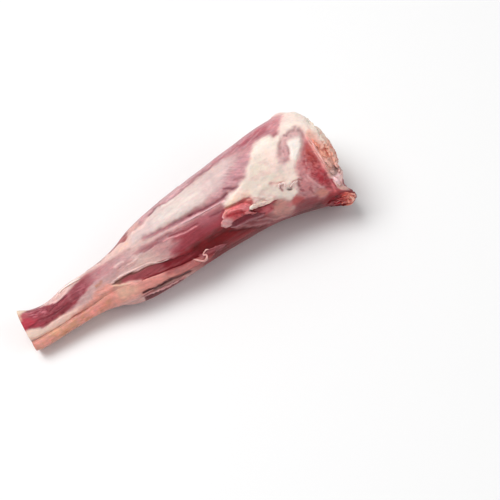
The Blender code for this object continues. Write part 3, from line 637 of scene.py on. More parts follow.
        (234.8, -27), (237, -25.6), (241, -25.4), (246, -27.4), (255, -30), (252, -34), (238, -32), (231, -29.6))),
    # torn meat between the fat and the flap
    ("area", 1, (178, 90, 88), 1, -0.5, (
        (185, 1.4), (190, 2), (196, 1), (203, 0.8), (207.4, -1), (207.8, -4.4), (205.6, -6.6), (203, -8.6), (198, -8),
        (190, -5), (186, -2))),
    ("area", 1.2, (158, 60, 62), 0.8, -0.3, ((197, -0.2), (201, -0.4), (202, -2), (198, -2.2))),
    ("area", 1.2, (214, 104, 104), 0.8, 0.1, ((200.4, -1.6), (205, -1.4), (205.4, -3.6), (202, -3.6))),
    # painted highlight on the torn meat
    ("line", 0.8, (238, 170, 160), 0.8, 0.2, ((204.4, -1.8), (206.6, -3))),
    # painted shade under the cream lip
    ("line", 1, (112, 18, 24), 0.9, -0.4, ((203.4, -11.4), (208, -12.4), (213, -13.8), (218, -14.8))),
    ("line", 1.2, (228, 180, 172), 0.7, 0.1, ((208, -0.4), (208.4, -3), (208.2, -5.6))),
    ("area", 1, (176, 70, 70), 0.8, -0.2, ((203.4, -4), (206.6, -3.4), (206.8, -5), (204, -5.4))),
    # painted shadow under the flap's lower edge
    ("line", 1.3, (112, 30, 38), 0.9, -0.3, ((188, -11), (194, -11), (200, -11.4), (203, -12.6))),
    # painted shadow under the fat's lower edge
    ("line", 0.8, (176, 130, 104), 0.8, -0.2, ((186, 1.8), (190, 1.7), (194, 0.9))),
    # orange and grey tissue at the cut rim
    ("area", 1.8, (240, 184, 168), 0.95, 0.3, (
        (271.8, 20), (276, 22), (279, 10), (284, 7), (288, -20), (279, -30), (271.8, -30))),
    ((3.4, 2.2, 50), 1.2, (214, 130, 112), 0.6, -0.2, (
        (273, 15), (276, 9), (284, 5), (284, -8), (278, -6), (274, 0))),
    ("line", 0.9, (186, 110, 96), 0.7, -0.3, ((273, 13), (274.2, 11))),
    ("line", 1, (178, 104, 90), 0.8, -0.3, ((274.6, 6.4), (275.6, 4.6))),
    ("line", 1, (190, 96, 78), 0.8, -0.3, ((276.6, 2.4), (278, 1), (279.4, 2), (280.6, 0), (280.6, -2.4))),
    ("area", 1.2, (252, 178, 150), 0.8, 0.3, ((275.6, -0.6), (278.4, -0.6), (278.6, -3), (276, -3.4))),
    ("area", 2, (210, 152, 138), 0.9, 0.3, ((273.6, -5), (279, -4.6), (281, -10), (280, -15), (274, -15.4))),
    ("area", 2, (166, 134, 130), 0.9, 0, ((273.6, -15), (282, -13), (284, -18), (280, -22), (273.6, -21))),
    ((1.8, 1.3, 0), 1.2, (112, 78, 76), 0.8, -0.3, ((274, -15), (283, -14), (283, -19), (275, -20))),
    ("area", 1.8, (252, 212, 212), 1, 0.3, ((272, -20.6), (284, -20), (284, -30), (272.6, -30))),
    ("area", 1.6, (218, 170, 158), 0.9, 0.1, ((273, -28), (284, -27), (284, -36), (273.6, -35))),
    ("line", 0.8, (196, 140, 140), 0.7, -0.2, ((275, -22), (276.4, -26), (276.4, -31))),
    ("line", 0.8, (156, 48, 58), 0.9, -0.4, ((271.6, -23), (271.4, -31))),
    ("line", 0.8, (236, 168, 162), 0.8, 0.3, ((271.6, 17), (272.2, 8), (271.8, -2), (271.6, -12), (271.6, -20))),
    ("area", 2, (214, 140, 124), 0.8, 0.1, ((256, -27), (262, -27.6), (264.4, -31), (262, -33), (256, -31.6))),
    ("area", 1.6, (160, 56, 60), 0.85, 0, (
        (262, -33.4), (266, -32.6), (272, -33), (274, -36), (258, -36.6), (258, -35))),
    # painted highlights above the frayed lump
    ("area", 1.5, (228, 124, 128), 0.75, 0.2, ((263, -29), (266, -28.4), (267.6, -31.6), (265, -33.2))),
    ("line", 1, (230, 122, 126), 0.8, 0.2, ((270.2, -27.6), (268.8, -30.6), (268.6, -33.6))),
    ("area", 1.8, (124, 18, 26), 0.95, 0, ((254, -35), (262, -34.4), (272, -36), (290, -38), (290, -60), (254, -60))),
)

# Marks of the hidden side, whose points are along-across in the leg's own frame.
FAR_SIDE = ((80, -8), (120, -14), (180, -20), (250, -24), (262, 2), (250, 24), (180, 16), (100, 6))
HIDDEN_MARKS = (
    ("area", 3, (176, 104, 110), 1, 0.3, (
        (74, -6), (110, -11), (170, -17), (228, -20), (256, -12), (244, 6), (182, 6), (112, 2))),
    ("area", 3, (196, 144, 146), 0.95, 0.2, (
        (82, 8), (120, 13), (180, 19), (242, 27), (254, 14), (182, 10), (112, 6))),
    ("area", 3, (150, 66, 74), 1, 0, (
        (92, -22), (150, -30), (222, -40), (266, -54), (290, -54), (290, -34), (266, -26), (212, -21), (152, -17),
        (102, -13))),
    # painted highlights: broad and narrow pale streaks of silvery sheen over the far side
    ((34, 7, -4), 6, (214, 176, 174), 0.7, 0.2, (
        (96, -10), (150, -16), (250, -24), (262, 2), (250, 24), (180, 16), (100, 6))),
    ((26, 1.6, -4), 4, (222, 186, 182), 0.5, 0.1, FAR_SIDE),
    ((22, 1.5, -3), 4, (148, 70, 80), 0.55, -0.15, FAR_SIDE),
    ("area", 2, (152, 66, 76), 0.9, -0.3, ((-4, -4), (-4, 4), (40, 2), (78, -2), (60, -6), (30, -7))),
    ("area", 1.4, (232, 208, 196), 0.95, 0.8, (
        (-4, 5), (30, 4.4), (70, 6), (96, 9), (96, 12), (70, 11), (30, 8.6), (-4, 9))),
    ("area", 1.4, (226, 194, 180), 0.9, 0.7, (
        (-4, -11), (26, -10.5), (64, -13), (88, -17), (64, -17), (26, -14.5), (-4, -15))),
    ("area", 5, (222, 190, 186), 0.8, 0.2, (
        (112, -4), (150, -6), (196, -8), (214, -4), (190, 1), (150, 0), (118, 0))),
    ("area", 4, (214, 184, 180), 0.75, 0.2, ((120, 22), (160, 27), (206, 33), (214, 28), (170, 21), (126, 15))),
    ("line", 1.3, (150, 84, 90), 0.8, -1.2, ((80, 5), (112, 5), (182, 8), (250, 10))),
    ("line", 0.8, (234, 204, 200), 0.8, 0.4, ((96, 6.6), (130, 7.4), (182, 10), (232, 11.6))),
    ("line", 1.4, (136, 62, 68), 0.85, -1.2, ((84, -12), (110, -13), (170, -18), (228, -21), (256, -20))),
    ("line", 0.8, (226, 190, 184), 0.7, 0.4, ((96, -14.4), (130, -16.4), (180, -20.4), (214, -22.6))),
    ("area", 2, CREAM, 0.95, 1.6, (
        (230, -12), (214, 0), (202, 2), (194, 9), (204, 15), (206, 24), (222, 30), (240, 38), (262, 48), (290, 48),
        (290, -24), (262, -26), (246, -19))),
    ("area", 3, IVORY, 0.8, 0.5, ((250, 8), (252, 34), (264, 48), (290, 40), (290, -4), (262, -6))),
    ("area", 1.4, CREAM, 0.85, 0.9, ((180, 2), (188, 6), (197, 5), (196, 0), (186, -2))),
    ("area", 1.2, CREAM, 0.8, 0.8, ((206, -9), (216, -6), (226, -10), (218, -13))),
    ("area", 1.4, (186, 96, 98), 0.85, -0.9, ((238, 2), (247, 8), (256, 6), (252, -3), (243, -5))),
    ("area", 1.2, (196, 110, 104), 0.8, -0.6, ((262, -14), (272, -8), (282, -12), (280, -22), (266, -22))),
    ("line", 0.9, (166, 84, 84), 0.7, -0.8, ((228, 22), (236, 18), (246, 19), (254, 25))),
)

# Marks of the flank behind the upper edge, whose points are along and round the leg, in mm back from it.
FLANK_RADIUS = 35.0
DEEP_MUSCLE = ((56, -46), (110, -54), (180, -60), (256, -56), (256, -16), (200, -9), (110, -12), (64, -22))
TORN_SHEATH = ((92, -17), (150, -10), (204, -12), (206, -24), (172, -31), (138, -33), (102, -26))
TRIMMED_PATCH = ((200, -27), (216, -23), (232, -25), (240, -33), (228, -38), (210, -37), (200, -33))
FLANK_MARKS = (
    # the deep muscle and its strands
    ("area", 6, (170, 96, 102), 0.9, 0.2, (
        (56, -46), (110, -54), (180, -60), (256, -56), (256, -16), (200, -9), (150, -10), (100, -14), (64, -22))),
    ((30, 2.4, 2), 4, (140, 58, 68), 0.9, -0.3, DEEP_MUSCLE),
    ((24, 1.8, 2), 4, (204, 150, 153), 0.8, 0.2, DEEP_MUSCLE),
    # sheath left on the muscle, torn along its edge
    ("area", 2, (214, 182, 180), 0.85, 0.5, (
        (92, -17), (120, -14), (150, -10), (184, -8), (204, -12), (195, -19), (206, -24), (186, -25), (172, -31),
        (152, -27), (138, -33), (118, -27), (102, -26))),
    ((22, 1.6, 3), 2.5, (238, 216, 210), 0.8, 0.2, TORN_SHEATH),
    ((12, 1.8, -4), 2.5, (188, 136, 140), 0.7, -0.2, TORN_SHEATH),
    # seam of fat between two muscles, and the furrow under it
    ("line", 1.8, (238, 212, 200), 0.9, 0.7, (
        (36, -20), (66, -27), (92, -34), (124, -39), (160, -42), (196, -43), (236, -38))),
    ("line", 1.2, (126, 48, 56), 0.85, -1, ((60, -30), (92, -38), (124, -43), (160, -46), (196, -47), (232, -43))),
    ("line", 1.3, (230, 196, 188), 0.8, 0.5, ((64, -6), (100, -9), (136, -6), (160, -3))),
    # a patch where the sheath is trimmed off
    ("area", 1.6, (150, 52, 62), 0.9, -0.6, TRIMMED_PATCH),
    ((9, 1.2, 6), 1.2, (190, 98, 104), 0.8, 0.3, TRIMMED_PATCH),
    # islands of fat
    ("area", 1.4, CREAM, 0.9, 0.8, ((150, -35), (160, -33), (168, -35), (164, -39), (154, -40))),
    ("area", 1.2, CREAM, 0.85, 0.7, ((112, -48), (120, -46), (127, -49), (119, -52))),
    # white tendon strands at the thin end, and a vein
    ("line", 1.6, (242, 218, 206), 0.85, 0.4, ((-4, -16), (24, -17), (50, -20), (74, -18))),
    ("line", 1.4, (236, 208, 198), 0.8, 0.4, ((-4, -36), (28, -38), (60, -44))),
    ("line", 0.8, (112, 40, 54), 0.75, 0.3, ((126, -56), (146, -51), (170, -53), (188, -58))),
)

BONE_H = ((0, 4.0), (24, 1.2), (60, 1.8), (150, 4.0), (230, 5.0), (285.5, 3.0))
BONE_D = ((0, -1.0), (100, -3.0), (200, -4.5), (285.5, -1.5))
BONE_TALL = (
    (0, 7.8), (24, 6.8), (60, 7.0), (180, 8.5), (225, 11.0), (255, 17.5), (273, 19.8), (281, 19.8), (285.5, 17.2))
BONE_WIDE = (
    (0, 9.0), (24, 8.0), (60, 8.0), (180, 9.2), (225, 12.5), (255, 20.5), (273, 23.8), (281, 23.8), (285.5, 20.8))
BONE_FACE = 285.5
KNUCKLE_START = 235
BONE_HOLE = 0.9
RIM_ROUND, RIM_TUCK = 1.2, 0.07


def bone_section(s, angle, shrink=1.0):
    """(H, D) of the bone's outline at s: round in the shaft, with two lobes and a notch at the knuckle."""
    h, d = np.cos(angle) * curve(BONE_TALL, s), np.sin(angle) * curve(BONE_WIDE, s)
    knob = np.clip((s - KNUCKLE_START) / (BONE_FACE - KNUCKLE_START), 0, 1)
    lobe = (1 - 0.07 * knob * np.cos(3 * np.arctan2(d, h) + math.pi)) * shrink
    return h * lobe + curve(BONE_H, s), d * lobe + curve(BONE_D, s)


def meat_rows():
    """Rows of (S, H, D) points: the sawn face, the leg, the rim and the thick face, in that order."""

    def from_bone(place, share):
        """(H, D) between the bone's outline, at share 0, and the leg's, at share 1."""
        inner, outer = bone_section(place, angles, BONE_HOLE), section(place, angles)
        return tuple(inner[k] + (outer[k] - inner[k]) * share for k in range(2))

    start, end = np.zeros(columns), np.full(columns, FACE_S)
    rows = []
    for t in np.linspace(0, 0.97, SAWN_ROWS):
        sunk = 4.0 if t == 0 else 0.7 * (1 - t) ** 2
        rows.append((start + sunk, *from_bone(start, t)))
    rows += [(start + s, *section(start + s, angles)) for s in body_s]
    for turn in np.linspace(0, math.pi / 2, RIM_ROWS + 1)[1:]:
        back = RIM_ROUND * (math.sin(turn) - 1)
        rows.append((end + back, *from_bone(end, 1 - RIM_TUCK * (1 - math.cos(turn)))))
    for t in np.linspace(1 - RIM_TUCK, 0, FACE_ROWS + 1)[1:]:
        rows.append((end + (1 - t), *from_bone(end, t)))
    return np.array(rows).transpose(0, 2, 1)


# Rows and columns lie closest where the photo shows the most.
body_s = np.concatenate([
    np.linspace(0, 100, 82, endpoint=False), np.linspace(100, 170, 68, endpoint=False),
    np.linspace(170, FACE_S - RIM_ROUND, 148)])
angles = np.concatenate([
    np.linspace(0, math.pi, FRONT_COLUMNS, endpoint=False),
    np.linspace(math.pi, 2 * math.pi, BACK_COLUMNS, endpoint=False)])
columns = len(angles)
meat_grid = meat_rows()
row_count = len(meat_grid)
leg = meat_grid.reshape(-1, 3)
level = leg.copy()
leg[:, 0] = lean_cut(leg[:, 0], leg[:, 1], leg[:, 2])
row_of = np.repeat(np.arange(row_count), columns)
first_face_row = SAWN_ROWS + len(body_s) + RIM_ROWS
inward = np.clip((row_of - first_face_row) / FACE_ROWS, 0, 1)
rim_share = smooth(266, FACE_S - 2, level[:, 0]) * (1 - inward) ** 2
ragged = 0.8 * noise(level, (30, 2.6, 2.6), 31) + 0.5 * noise(level, (30, 1.3, 1.3), 32)
leg[:, 0] += rim_share * (notched(level[:, 1], level[:, 2]) + ragged)
sawn = row_of < SAWN_ROWS
face = row_of >= SAWN_ROWS + len(body_s) + 2
out = grid_normals(leg, row_count, columns)
turn_of = np.tile(angles, row_count)
fibre = wrapped(leg[:, 0], turn_of, 30)
fibre[sawn | face] = level[sawn | face] * (20, 1, 1)


def smeared(points, seed):
    """Streaks that run along the leg, as muscle fibres do."""
    return (
        0.5 * noise(points, (34, 3.4, 3.4), seed) + 0.3 * noise(points, (22, 1.7, 1.7), seed + 1)
        + 0.2 * noise(points, (14, 1.5, 1.5), seed + 2))


def wavered(points, plane, fine=0.45):
    """The plane with its places shifted a little, so that every mark has a natural edge."""
    coarse = np.stack([noise(points, (7, 4, 4), seed) for seed in (41, 42)], axis=1)
    small = np.stack([noise(points, (2.6, 1.8, 1.8), seed) for seed in (43, 44)], axis=1)
    return plane + coarse * 0.9 + small * fine


def grained(colour, points, strands, crisp=1.0):
    """The paint with its tissue's own grain, its roughness, the shares of lean and fat, and the streaks.

    Lean meat gets streaks, tendon gets specks and fat gets soft blots. Crisp scales the finest grain."""
    redness = 1 - colour[:, 1] / colour[:, 0]
    lean = smooth(0.34, 0.56, redness)
    fat = 1 - smooth(0.12, 0.26, redness)
    tan = (1 - lean) * (1 - fat)
    streak = smeared(strands, 11)
    blot = noise(points, (5, 4, 4), 52)
    speck = noise(points, (2.2, 1.1, 1.1), 53)
    fine = noise(points, (1.6, 1.3, 1.3), 54)
    grain = (0.03 + 0.03 * tan) * speck + (0.035 - 0.02 * fat) * fine
    shade = 1 + (0.03 + 0.12 * lean) * streak + (0.035 - 0.01 * fat) * blot + crisp * grain
    colour = colour * shade[:, None]
    colour += fat[:, None] * (blot * 0.5 + speck * 0.5)[:, None] * np.array((0.008, -0.007, -0.014))
    colour += tan[:, None] * speck[:, None] * np.array((0.012, -0.012, -0.016))
    rough = 0.34 + 0.10 * fat + 0.04 * lean + 0.05 * blot
    return np.clip(colour, 0.01, 1), np.clip(rough, 0.2, 0.6), lean, fat, streak


def seen_share(points, normals):
    """1 where the skin faces the camera, 0 where it turns away, with a soft change at the outline."""
    placed = laid(points)
    sight = np.array(CAMERA_PLACE) - placed
    sight /= np.linalg.norm(sight, axis=1, keepdims=True)
    return smooth(-0.04, 0.2, ((normals @ LEG_TURN.T) * sight).sum(axis=1))


aside = out * (0, 1, 1)
shown = seen_share(leg, aside / np.linalg.norm(aside, axis=1, keepdims=True))
streaks = smeared(fibre, 11)
broad = noise(fibre, (70, 13, 13), 21)
hidden_base = eight_bit((184, 126, 129)) + np.outer(0.06 * streaks + 0.05 * broad, (1.0, 1.2, 1.2))
round_leg = (turn_of + math.pi) % (2 * math.pi) - math.pi
unrolled = np.stack([leg[:, 0], FLANK_RADIUS * round_leg], axis=1)
drift = 1.5 * broad[:, None]
flank_paint, flank_height = marked(FLANK_MARKS, wavered(leg, unrolled + drift, 0.6), hidden_base)
hidden_paint, hidden_height = marked(HIDDEN_MARKS, wavered(leg, leg[:, :2] + drift, 0.6), flank_paint)
hidden_height += flank_height

# Lean meat that only shows beside the loose strap.
BESIDE_STRAP = (
    ("area", 0.9, (126, 24, 34), 1, -0.8, (
        (100, -11.8), (110, -13.8), (118, -15.2), (124, -15.8), (130, -17), (135, -17.6), (142, -18), (150, -17),
        (156, -19.6), (150, -24), (130, -22), (118, -20), (108, -17), (100, -14))),
)
plane = shown_plane(laid(leg))
silver_base = np.tile(eight_bit(SILVER), (len(leg), 1))
shown_paint, shown_height = marked(SHOWN_MARKS + BESIDE_STRAP, wavered(leg, plane), silver_base)
paint = toward(hidden_paint, shown_paint, shown)
height = hidden_height * (1 - shown) + shown_height * shown - 1.2 * smooth(185, 225, leg[:, 0])

# The thick end's cut face: red muscle bundles, parted by pale seams.
BUNDLES = np.array((
    (-21, -14), (-21, 4), (-19, 17), (-29, -6), (-30, 10), (-30, -19), (-37, 1), (-40, 13), (-41, -9), (-23, -25),
    (-8, 26), (6, 27), (-2, -29), (10, -28), (24, -6), (24, 9)), float)
bent = np.stack([noise(level, (3, 6, 6), seed) for seed in (71, 72)], axis=1)
apart = np.hypot(*(level[:, None, 1:] + 1.6 * bent[:, None] - BUNDLES).transpose(2, 0, 1))
order = np.sort(apart, axis=1)
seam = bell((order[:, 1] - order[:, 0]) / 1.15) * (0.65 + 0.35 * noise(level, (5, 5, 5), 70))
bundle = np.argmin(apart, axis=1)
bundle_red = eight_bit((158, 58, 66)) * (1 + 0.10 * np.sin(bundle * 2.3))[:, None]
bundle_grain = 1 + 0.12 * noise(level, (2, 1.3, 1.3), 73) + 0.08 * noise(level, (2, 3, 3), 74)
cut_paint = toward(bundle_red * bundle_grain[:, None], eight_bit((224, 172, 166)), 0.65 * seam)
level_s, level_h, level_d = level.T
ring = np.hypot(
    (level_h - curve(BONE_H, level_s)) / curve(BONE_TALL, level_s),
    (level_d - curve(BONE_D, level_s)) / curve(BONE_WIDE, level_s))

# Fat and ligament in a cuff round the bone.
cuff = smooth(1.55, 1.2, ring + 0.15 * noise(level, (4, 4, 4), 75))
cuff = cuff + smooth(14, 22, level_h + 3 * noise(level, (4, 5, 5), 76))
cuff = np.clip(cuff + smooth(8, 13, level_h + 2 * noise(level, (3, 3, 5), 87)) * smooth(0, 10, level_d), 0, 1)
gristle = 0.7 * noise(level, (3.4, 3.4, 3.4), 85) + 0.4 * noise(level, (1.4, 1.4, 1.4), 86)
cuff_paint = toward(eight_bit((238, 212, 194)), eight_bit((210, 140, 124)), smooth(0.15, 0.75, gristle))
cuff_paint = toward(cuff_paint, eight_bit((250, 234, 216)), 0.7 * smooth(-0.1, -0.6, gristle))
cut_paint = toward(cut_paint, cuff_paint, cuff * face)

# Clumps of orange and grey tissue between the cuff and the shown rim, and a membrane over the rim.
tissue = smooth(2, 11, level_d) * smooth(-29, -22, level_h) * smooth(14, 8, level_h)
tissue *= smooth(269, 273, level_s) * smooth(1.12, 1.3, ring)
clumps = 0.8 * noise(level, (3.0, 4.2, 6.5), 79) + 0.35 * noise(level, (1.6, 2.0, 3.2), 80)
crevice = bell(clumps / 0.07)
tissue_paint = toward(eight_bit((240, 190, 174)), eight_bit((232, 154, 130)), smooth(0.0, 0.6, clumps))
# the palest tone is a painted highlight, and the dark lines between clumps are painted shade in their crevices
for tone, share in (
        ((246, 208, 194), 0.8 * smooth(-0.1, -0.6, clumps)),
        ((176, 96, 82), 0.4 * crevice),
        ((214, 166, 156), 0.5 * smooth(-3, -8, level_h)),
        ((176, 140, 136), 0.65 * smooth(-12, -16, level_h) * smooth(-24, -20, level_h)),
        ((250, 218, 212), 0.7 * smooth(-19, -25, level_h))):
    tissue_paint = toward(tissue_paint, eight_bit(tone), share)
cut_paint = toward(cut_paint, tissue_paint, tissue)
membrane = smooth(0.14, 0.03, inward) * smooth(0, 8, level_d)
membrane = membrane * smooth(-38, -34, level_h) * smooth(-18, -22, level_h)
cut_paint = toward(cut_paint, eight_bit((242, 208, 204)), 0.85 * membrane)

# Red meat round the sawn bone, with the ends of tendons and seams in it.
sawn_reds = eight_bit((150, 48, 58)) * (1 + 0.16 * noise(level, (2, 1.4, 1.4), 77))[:, None]
SAWN_MARKS = (
    ("line", 1.5, (236, 212, 190), 0.95, 0.3, ((-8.5, -4), (-8.2, -3.6))),
    ("line", 1.3, (232, 204, 184), 0.95, 0.3, ((-7, 6), (-6.6, 6.6))),
    ("line", 1.2, (236, 208, 190), 0.9, 0.3, ((13.4, 4), (13.2, 5))),
    ("line", 0.5, (226, 170, 160), 0.8, 0, ((-6, -10), (-2, -11), (4, -11.5))),
    ("line", 0.5, (226, 170, 160), 0.8, 0, ((-5, 9.5), (2, 10.5), (9, 9.5))),
)
sawn_paint, sawn_height = marked(SAWN_MARKS, level[:, 1:], sawn_reds)
sawn_rim = smooth(SAWN_ROWS - 3.5, SAWN_ROWS - 1.5, row_of)
sawn_paint = toward(sawn_paint, eight_bit((232, 196, 178)), sawn_rim)
paint = np.where(face[:, None], cut_paint, np.where(sawn[:, None], sawn_paint, paint))
face_height = (
    -0.5 * seam * (1 - cuff) + (0.5 + 0.6 * gristle) * cuff + 0.7 * noise(level, (5, 5, 5), 78)
    + tissue * (1.3 * clumps - 0.5 * crevice))
height = np.where(face, face_height, np.where(sawn, sawn_height, height + 0.9 * tissue * clumps))
crisp = 0.15 + 0.85 * np.maximum(shown, face)
paint, rough, lean_tissue, fat_tissue, streaks = grained(paint, leg, fibre, crisp)

# Furrows between muscles: side of the leg, half width, depth and (S, H) run.
FURROWS = (
    (1, 5.5, -2.2, ((125, -12.5), (155, -14.5), (190, -15.0), (225, -16.5))),
    (1, 3.5, -1.4, ((95, 16.5), (135, 13.2), (165, 9.8), (195, 9.2))),
    (-1, 5.0, -3.0, ((75, -4), (160, -9), (215, -13), (268, -16))),
    (-1, 4.5, -2.6, ((90, 12), (170, 17), (220, 18), (262, 16))),
    (-1, 3.4, -1.5, ((104, 2), (150, 5), (205, 4), (256, 0))),
)
on_body = ~(sawn | face)
for side, half_width, depth, line in FURROWS:
    start, end = line[0][0], line[-1][0]
    run = np.clip((leg[:, 0] - start) / (end - start), 0, 1)
    near = bell((leg[:, 1] - curve(line, leg[:, 0])) / half_width) * np.sin(math.pi * run) ** 0.6
    height += depth * near * (side * leg[:, 2] > 0) * np.clip(np.abs(leg[:, 2]) / 10, 0, 1) * on_body

# Swells and grain: the slim end has less of them.
slim = 0.35 + 0.65 * smooth(60, 130, leg[:, 0])
height += on_body * slim * (1 - shown) * 0.9 * noise(leg, (48, 17, 17), 66)
height += on_body * slim * (0.25 * lean_tissue * streaks + 0.10 * streaks + 0.30 * noise(leg, (14, 7, 7), 61))
fat_lumps = 0.8 * noise(leg, (12, 9, 9), 63) + 0.35 * noise(leg, (5, 4, 4), 64)
fat_lumps = fat_lumps + 0.05 * noise(leg, (2.4, 2, 2), 65)
height += on_body * fat_tissue * slim * fat_lumps
height += 0.05 * noise(leg, (2, 1.4, 1.4), 62)
leg = leg + out * height[:, None]


def maths(tree, operation, *values, kind="ShaderNodeMath"):
    """Output of a maths node; its values are numbers or the outputs of other nodes, in order."""
    node = tree.nodes.new(kind)
    node.operation = operation
    for socket, value in zip(node.inputs, values):
        if isinstance(value, bpy.types.NodeSocket):
            tree.links.new(value, socket)
        else:
            socket.default_value = value
    return node.outputs[0]


def flesh_material(name, coat, subsurface, bump_size):
    """Moist tissue: painted colour, fine strands along the fibres, light under the skin and a wet film."""
    material = bpy.data.materials.new(name)
    material.use_nodes = True
    tree = material.node_tree
    nodes, links = tree.nodes, tree.links
    shader = nodes["Principled BSDF"]

    def attribute(label):
        node = nodes.new("ShaderNodeAttribute")
        node.attribute_name = label
        return node.outputs

    def made(kind, **inputs):
        node = nodes.new(kind)
        for label, value in inputs.items():
            node.inputs[label].default_value = value
        return node

    painted, along, stringy = attribute("paint"), attribute("fibre"), attribute("stringy")
    stretch = made("ShaderNodeMapping", Scale=(0.06, 1.1, 1.1))
    strands = made("ShaderNodeTexNoise", Scale=1.0, Detail=4.0, Roughness=0.6)
    links.new(along["Vector"], stretch.inputs["Vector"])
    links.new(stretch.outputs["Vector"], strands.inputs["Vector"])
    off_middle = maths(tree, "SUBTRACT", strands.outputs["Fac"], 0.5)
    swing = maths(tree, "MULTIPLY", stringy["Fac"], 0.45)
    shade = made("ShaderNodeHueSaturation")
    links.new(painted["Color"], shade.inputs["Color"])
    links.new(maths(tree, "MULTIPLY_ADD", off_middle, swing, 1.0), shade.inputs["Value"])
    links.new(shade.outputs["Color"], shader.inputs["Base Color"])
    links.new(painted["Alpha"], shader.inputs["Roughness"])
    pores = made("ShaderNodeTexNoise", Scale=900.0, Detail=3.0)
    links.new(made("ShaderNodeTexCoord").outputs["Object"], pores.inputs["Vector"])
    bump = made("ShaderNodeBump", Strength=0.6, Distance=bump_size)
    relief = maths(tree, "MULTIPLY_ADD", strands.outputs["Fac"], stringy["Fac"], pores.outputs["Fac"])
    links.new(relief, bump.inputs["Height"])
    links.new(bump.outputs["Normal"], shader.inputs["Normal"])
    links.new(bump.outputs["Normal"], shader.inputs["Coat Normal"])
    for label, value in (
            ("Coat Weight", coat), ("Coat Roughness", 0.16), ("Subsurface Weight", subsurface),
            ("Subsurface Radius", (1.0, 0.35, 0.2)), ("Subsurface Scale", 0.0011), ("IOR", 1.36),
            ("Specular IOR Level", 0.36)):
        shader.inputs[label].default_value = value
    return material


def laid_grid(points, colours, roughness, fibres, rows):
    """A grid for piece_of, from flat lists of points in the leg's own frame."""
    shape = (rows, len(points) // rows, 3)
    return laid(points).reshape(shape), colours.reshape(shape), roughness.reshape(shape[:2]), fibres.reshape(shape)


moist = flesh_material("moist_meat", 0.17, 0.14, 0.0005)
meat = piece_of(
    "shank_meat_skin", [laid_grid(leg, paint, rough, fibre, row_count)], moist, "shank_meat")

# ---- Heel tendon ----
# The thick tendon of the heel: a flat band in a salmon sheath at the sawn end, which parts from the
# muscle above it and ends as a loose torn strap.

TENDON_UPPER = (
    (0, -8.8), (45, -8.7), (60, -6.4), (74, -5.8), (86, -8.5), (103, -13.2), (128, -18.4), (153, -20.8), (160, -21.8))
TENDON_LOWER = (
    (0, -18.0), (6, -19.0), (45, -18.4), (60, -19.2), (75, -22.2), (90, -24.0), (110, -23.8), (130, -26.2),
    (153, -25.5), (160, -22.6))
TENDON_D = ((0, 2.0), (45, 3.0), (75, 8.0), (100, 12.0), (125, 14.2), (153, 15.2), (160, 15.4))
TENDON_DEEP = ((0, 7.8), (45, 7.2), (75, 6.4), (110, 4.5), (153, 3.0), (160, 1.6))
STRAP_TIP = 159.0
TENDON_SAWN_ROWS, TENDON_ROWS, TENDON_COLUMNS = 7, 230, 84
TENDON_POWER = 3.0
TENDON_BASE = eight_bit((214, 148, 134))
tendon_angles = np.linspace(0, 2 * math.pi, TENDON_COLUMNS, endpoint=False)


def tendon_rows():
    """Rows of (S, H, D) points from the middle of the sawn end, along the band and round its ragged tip."""
    c, q = np.cos(tendon_angles), np.sin(tendon_angles)
    across = np.sign(c) * np.abs(c) ** (2 / TENDON_POWER)
    through = np.sign(q) * np.abs(q) ** (2 / TENDON_POWER)
    places = [(0.0, t) for t in np.linspace(0.1, 0.94, TENDON_SAWN_ROWS)]
    places += [(s, 1.0) for s in np.linspace(0.0, STRAP_TIP, TENDON_ROWS)]
    places += [(STRAP_TIP + 0.6, 0.6), (STRAP_TIP + 0.8, 0.15)]
    rows = []
    for s, shrink in places:
        s = np.full(TENDON_COLUMNS, s)
        top, bottom = curve(TENDON_UPPER, s), curve(TENDON_LOWER, s)
        h = (top + bottom) / 2 + across * (top - bottom) / 2 * shrink
        d = curve(TENDON_D, s) + through * curve(TENDON_DEEP, s) * shrink
        rows.append((s, h, d))
    return np.array(rows).transpose(0, 2, 1)


band_grid = tendon_rows()
band_rows = len(band_grid)
band = band_grid.reshape(-1, 3)
band[:, 0] = lean_cut(band[:, 0], band[:, 1], band[:, 2])
band_out = grid_normals(band, band_rows, TENDON_COLUMNS)
band_fibre = wrapped(band[:, 0], np.tile(tendon_angles, band_rows), 9)
band_sawn = np.repeat(np.arange(band_rows), TENDON_COLUMNS) < TENDON_SAWN_ROWS
band_plane = shown_plane(laid(band))
band_paint, _ = marked(SHOWN_MARKS, wavered(band, band_plane), np.tile(TENDON_BASE, (len(band), 1)))
band_paint = toward(band_paint, TENDON_BASE, smooth(0.25, -0.35, band_out[:, 2]))
fray = smooth(128, 158, band[:, 0])
band_paint = toward(band_paint, eight_bit((184, 96, 94)), 0.55 * fray)
cut_end = eight_bit((236, 206, 190)) * (1 + 0.08 * noise(band, (2, 1.2, 1.2), 83))[:, None]
band_paint = np.where(band_sawn[:, None], cut_end, band_paint)
band_paint, band_rough, _, _, band_streaks = grained(band_paint, band, band_fibre)
band_height = 0.25 * band_streaks + 0.25 * noise(band, (9, 4, 4), 81)
band_height += 0.6 * fray * noise(band, (3, 1.6, 1.6), 82)
band_height[band_sawn] = 0.15 * noise(band[band_sawn], (2, 1, 1), 84)
band = band + band_out * band_height[:, None]
tendon = piece_of(
    "heel_tendon_band", [laid_grid(band, band_paint, band_rough, band_fibre, band_rows)],
    moist, "heel_tendon")

# ---- Leg bone ----
# The shin bone that runs through the meat: a sawn ring with marrow at the thin end, and the joint
# end with its two cartilage dishes at the thick end.

MARROW_SHARE, MARROW_DEPTH, MARROW_ROWS = 0.56, 1.6, 7
DISH_DEPTH, DISH_PLACE, DISH_TALL, SPINE_HEIGHT = 1.4, 0.5, 14, 2.4
BONE_COLUMNS = 120


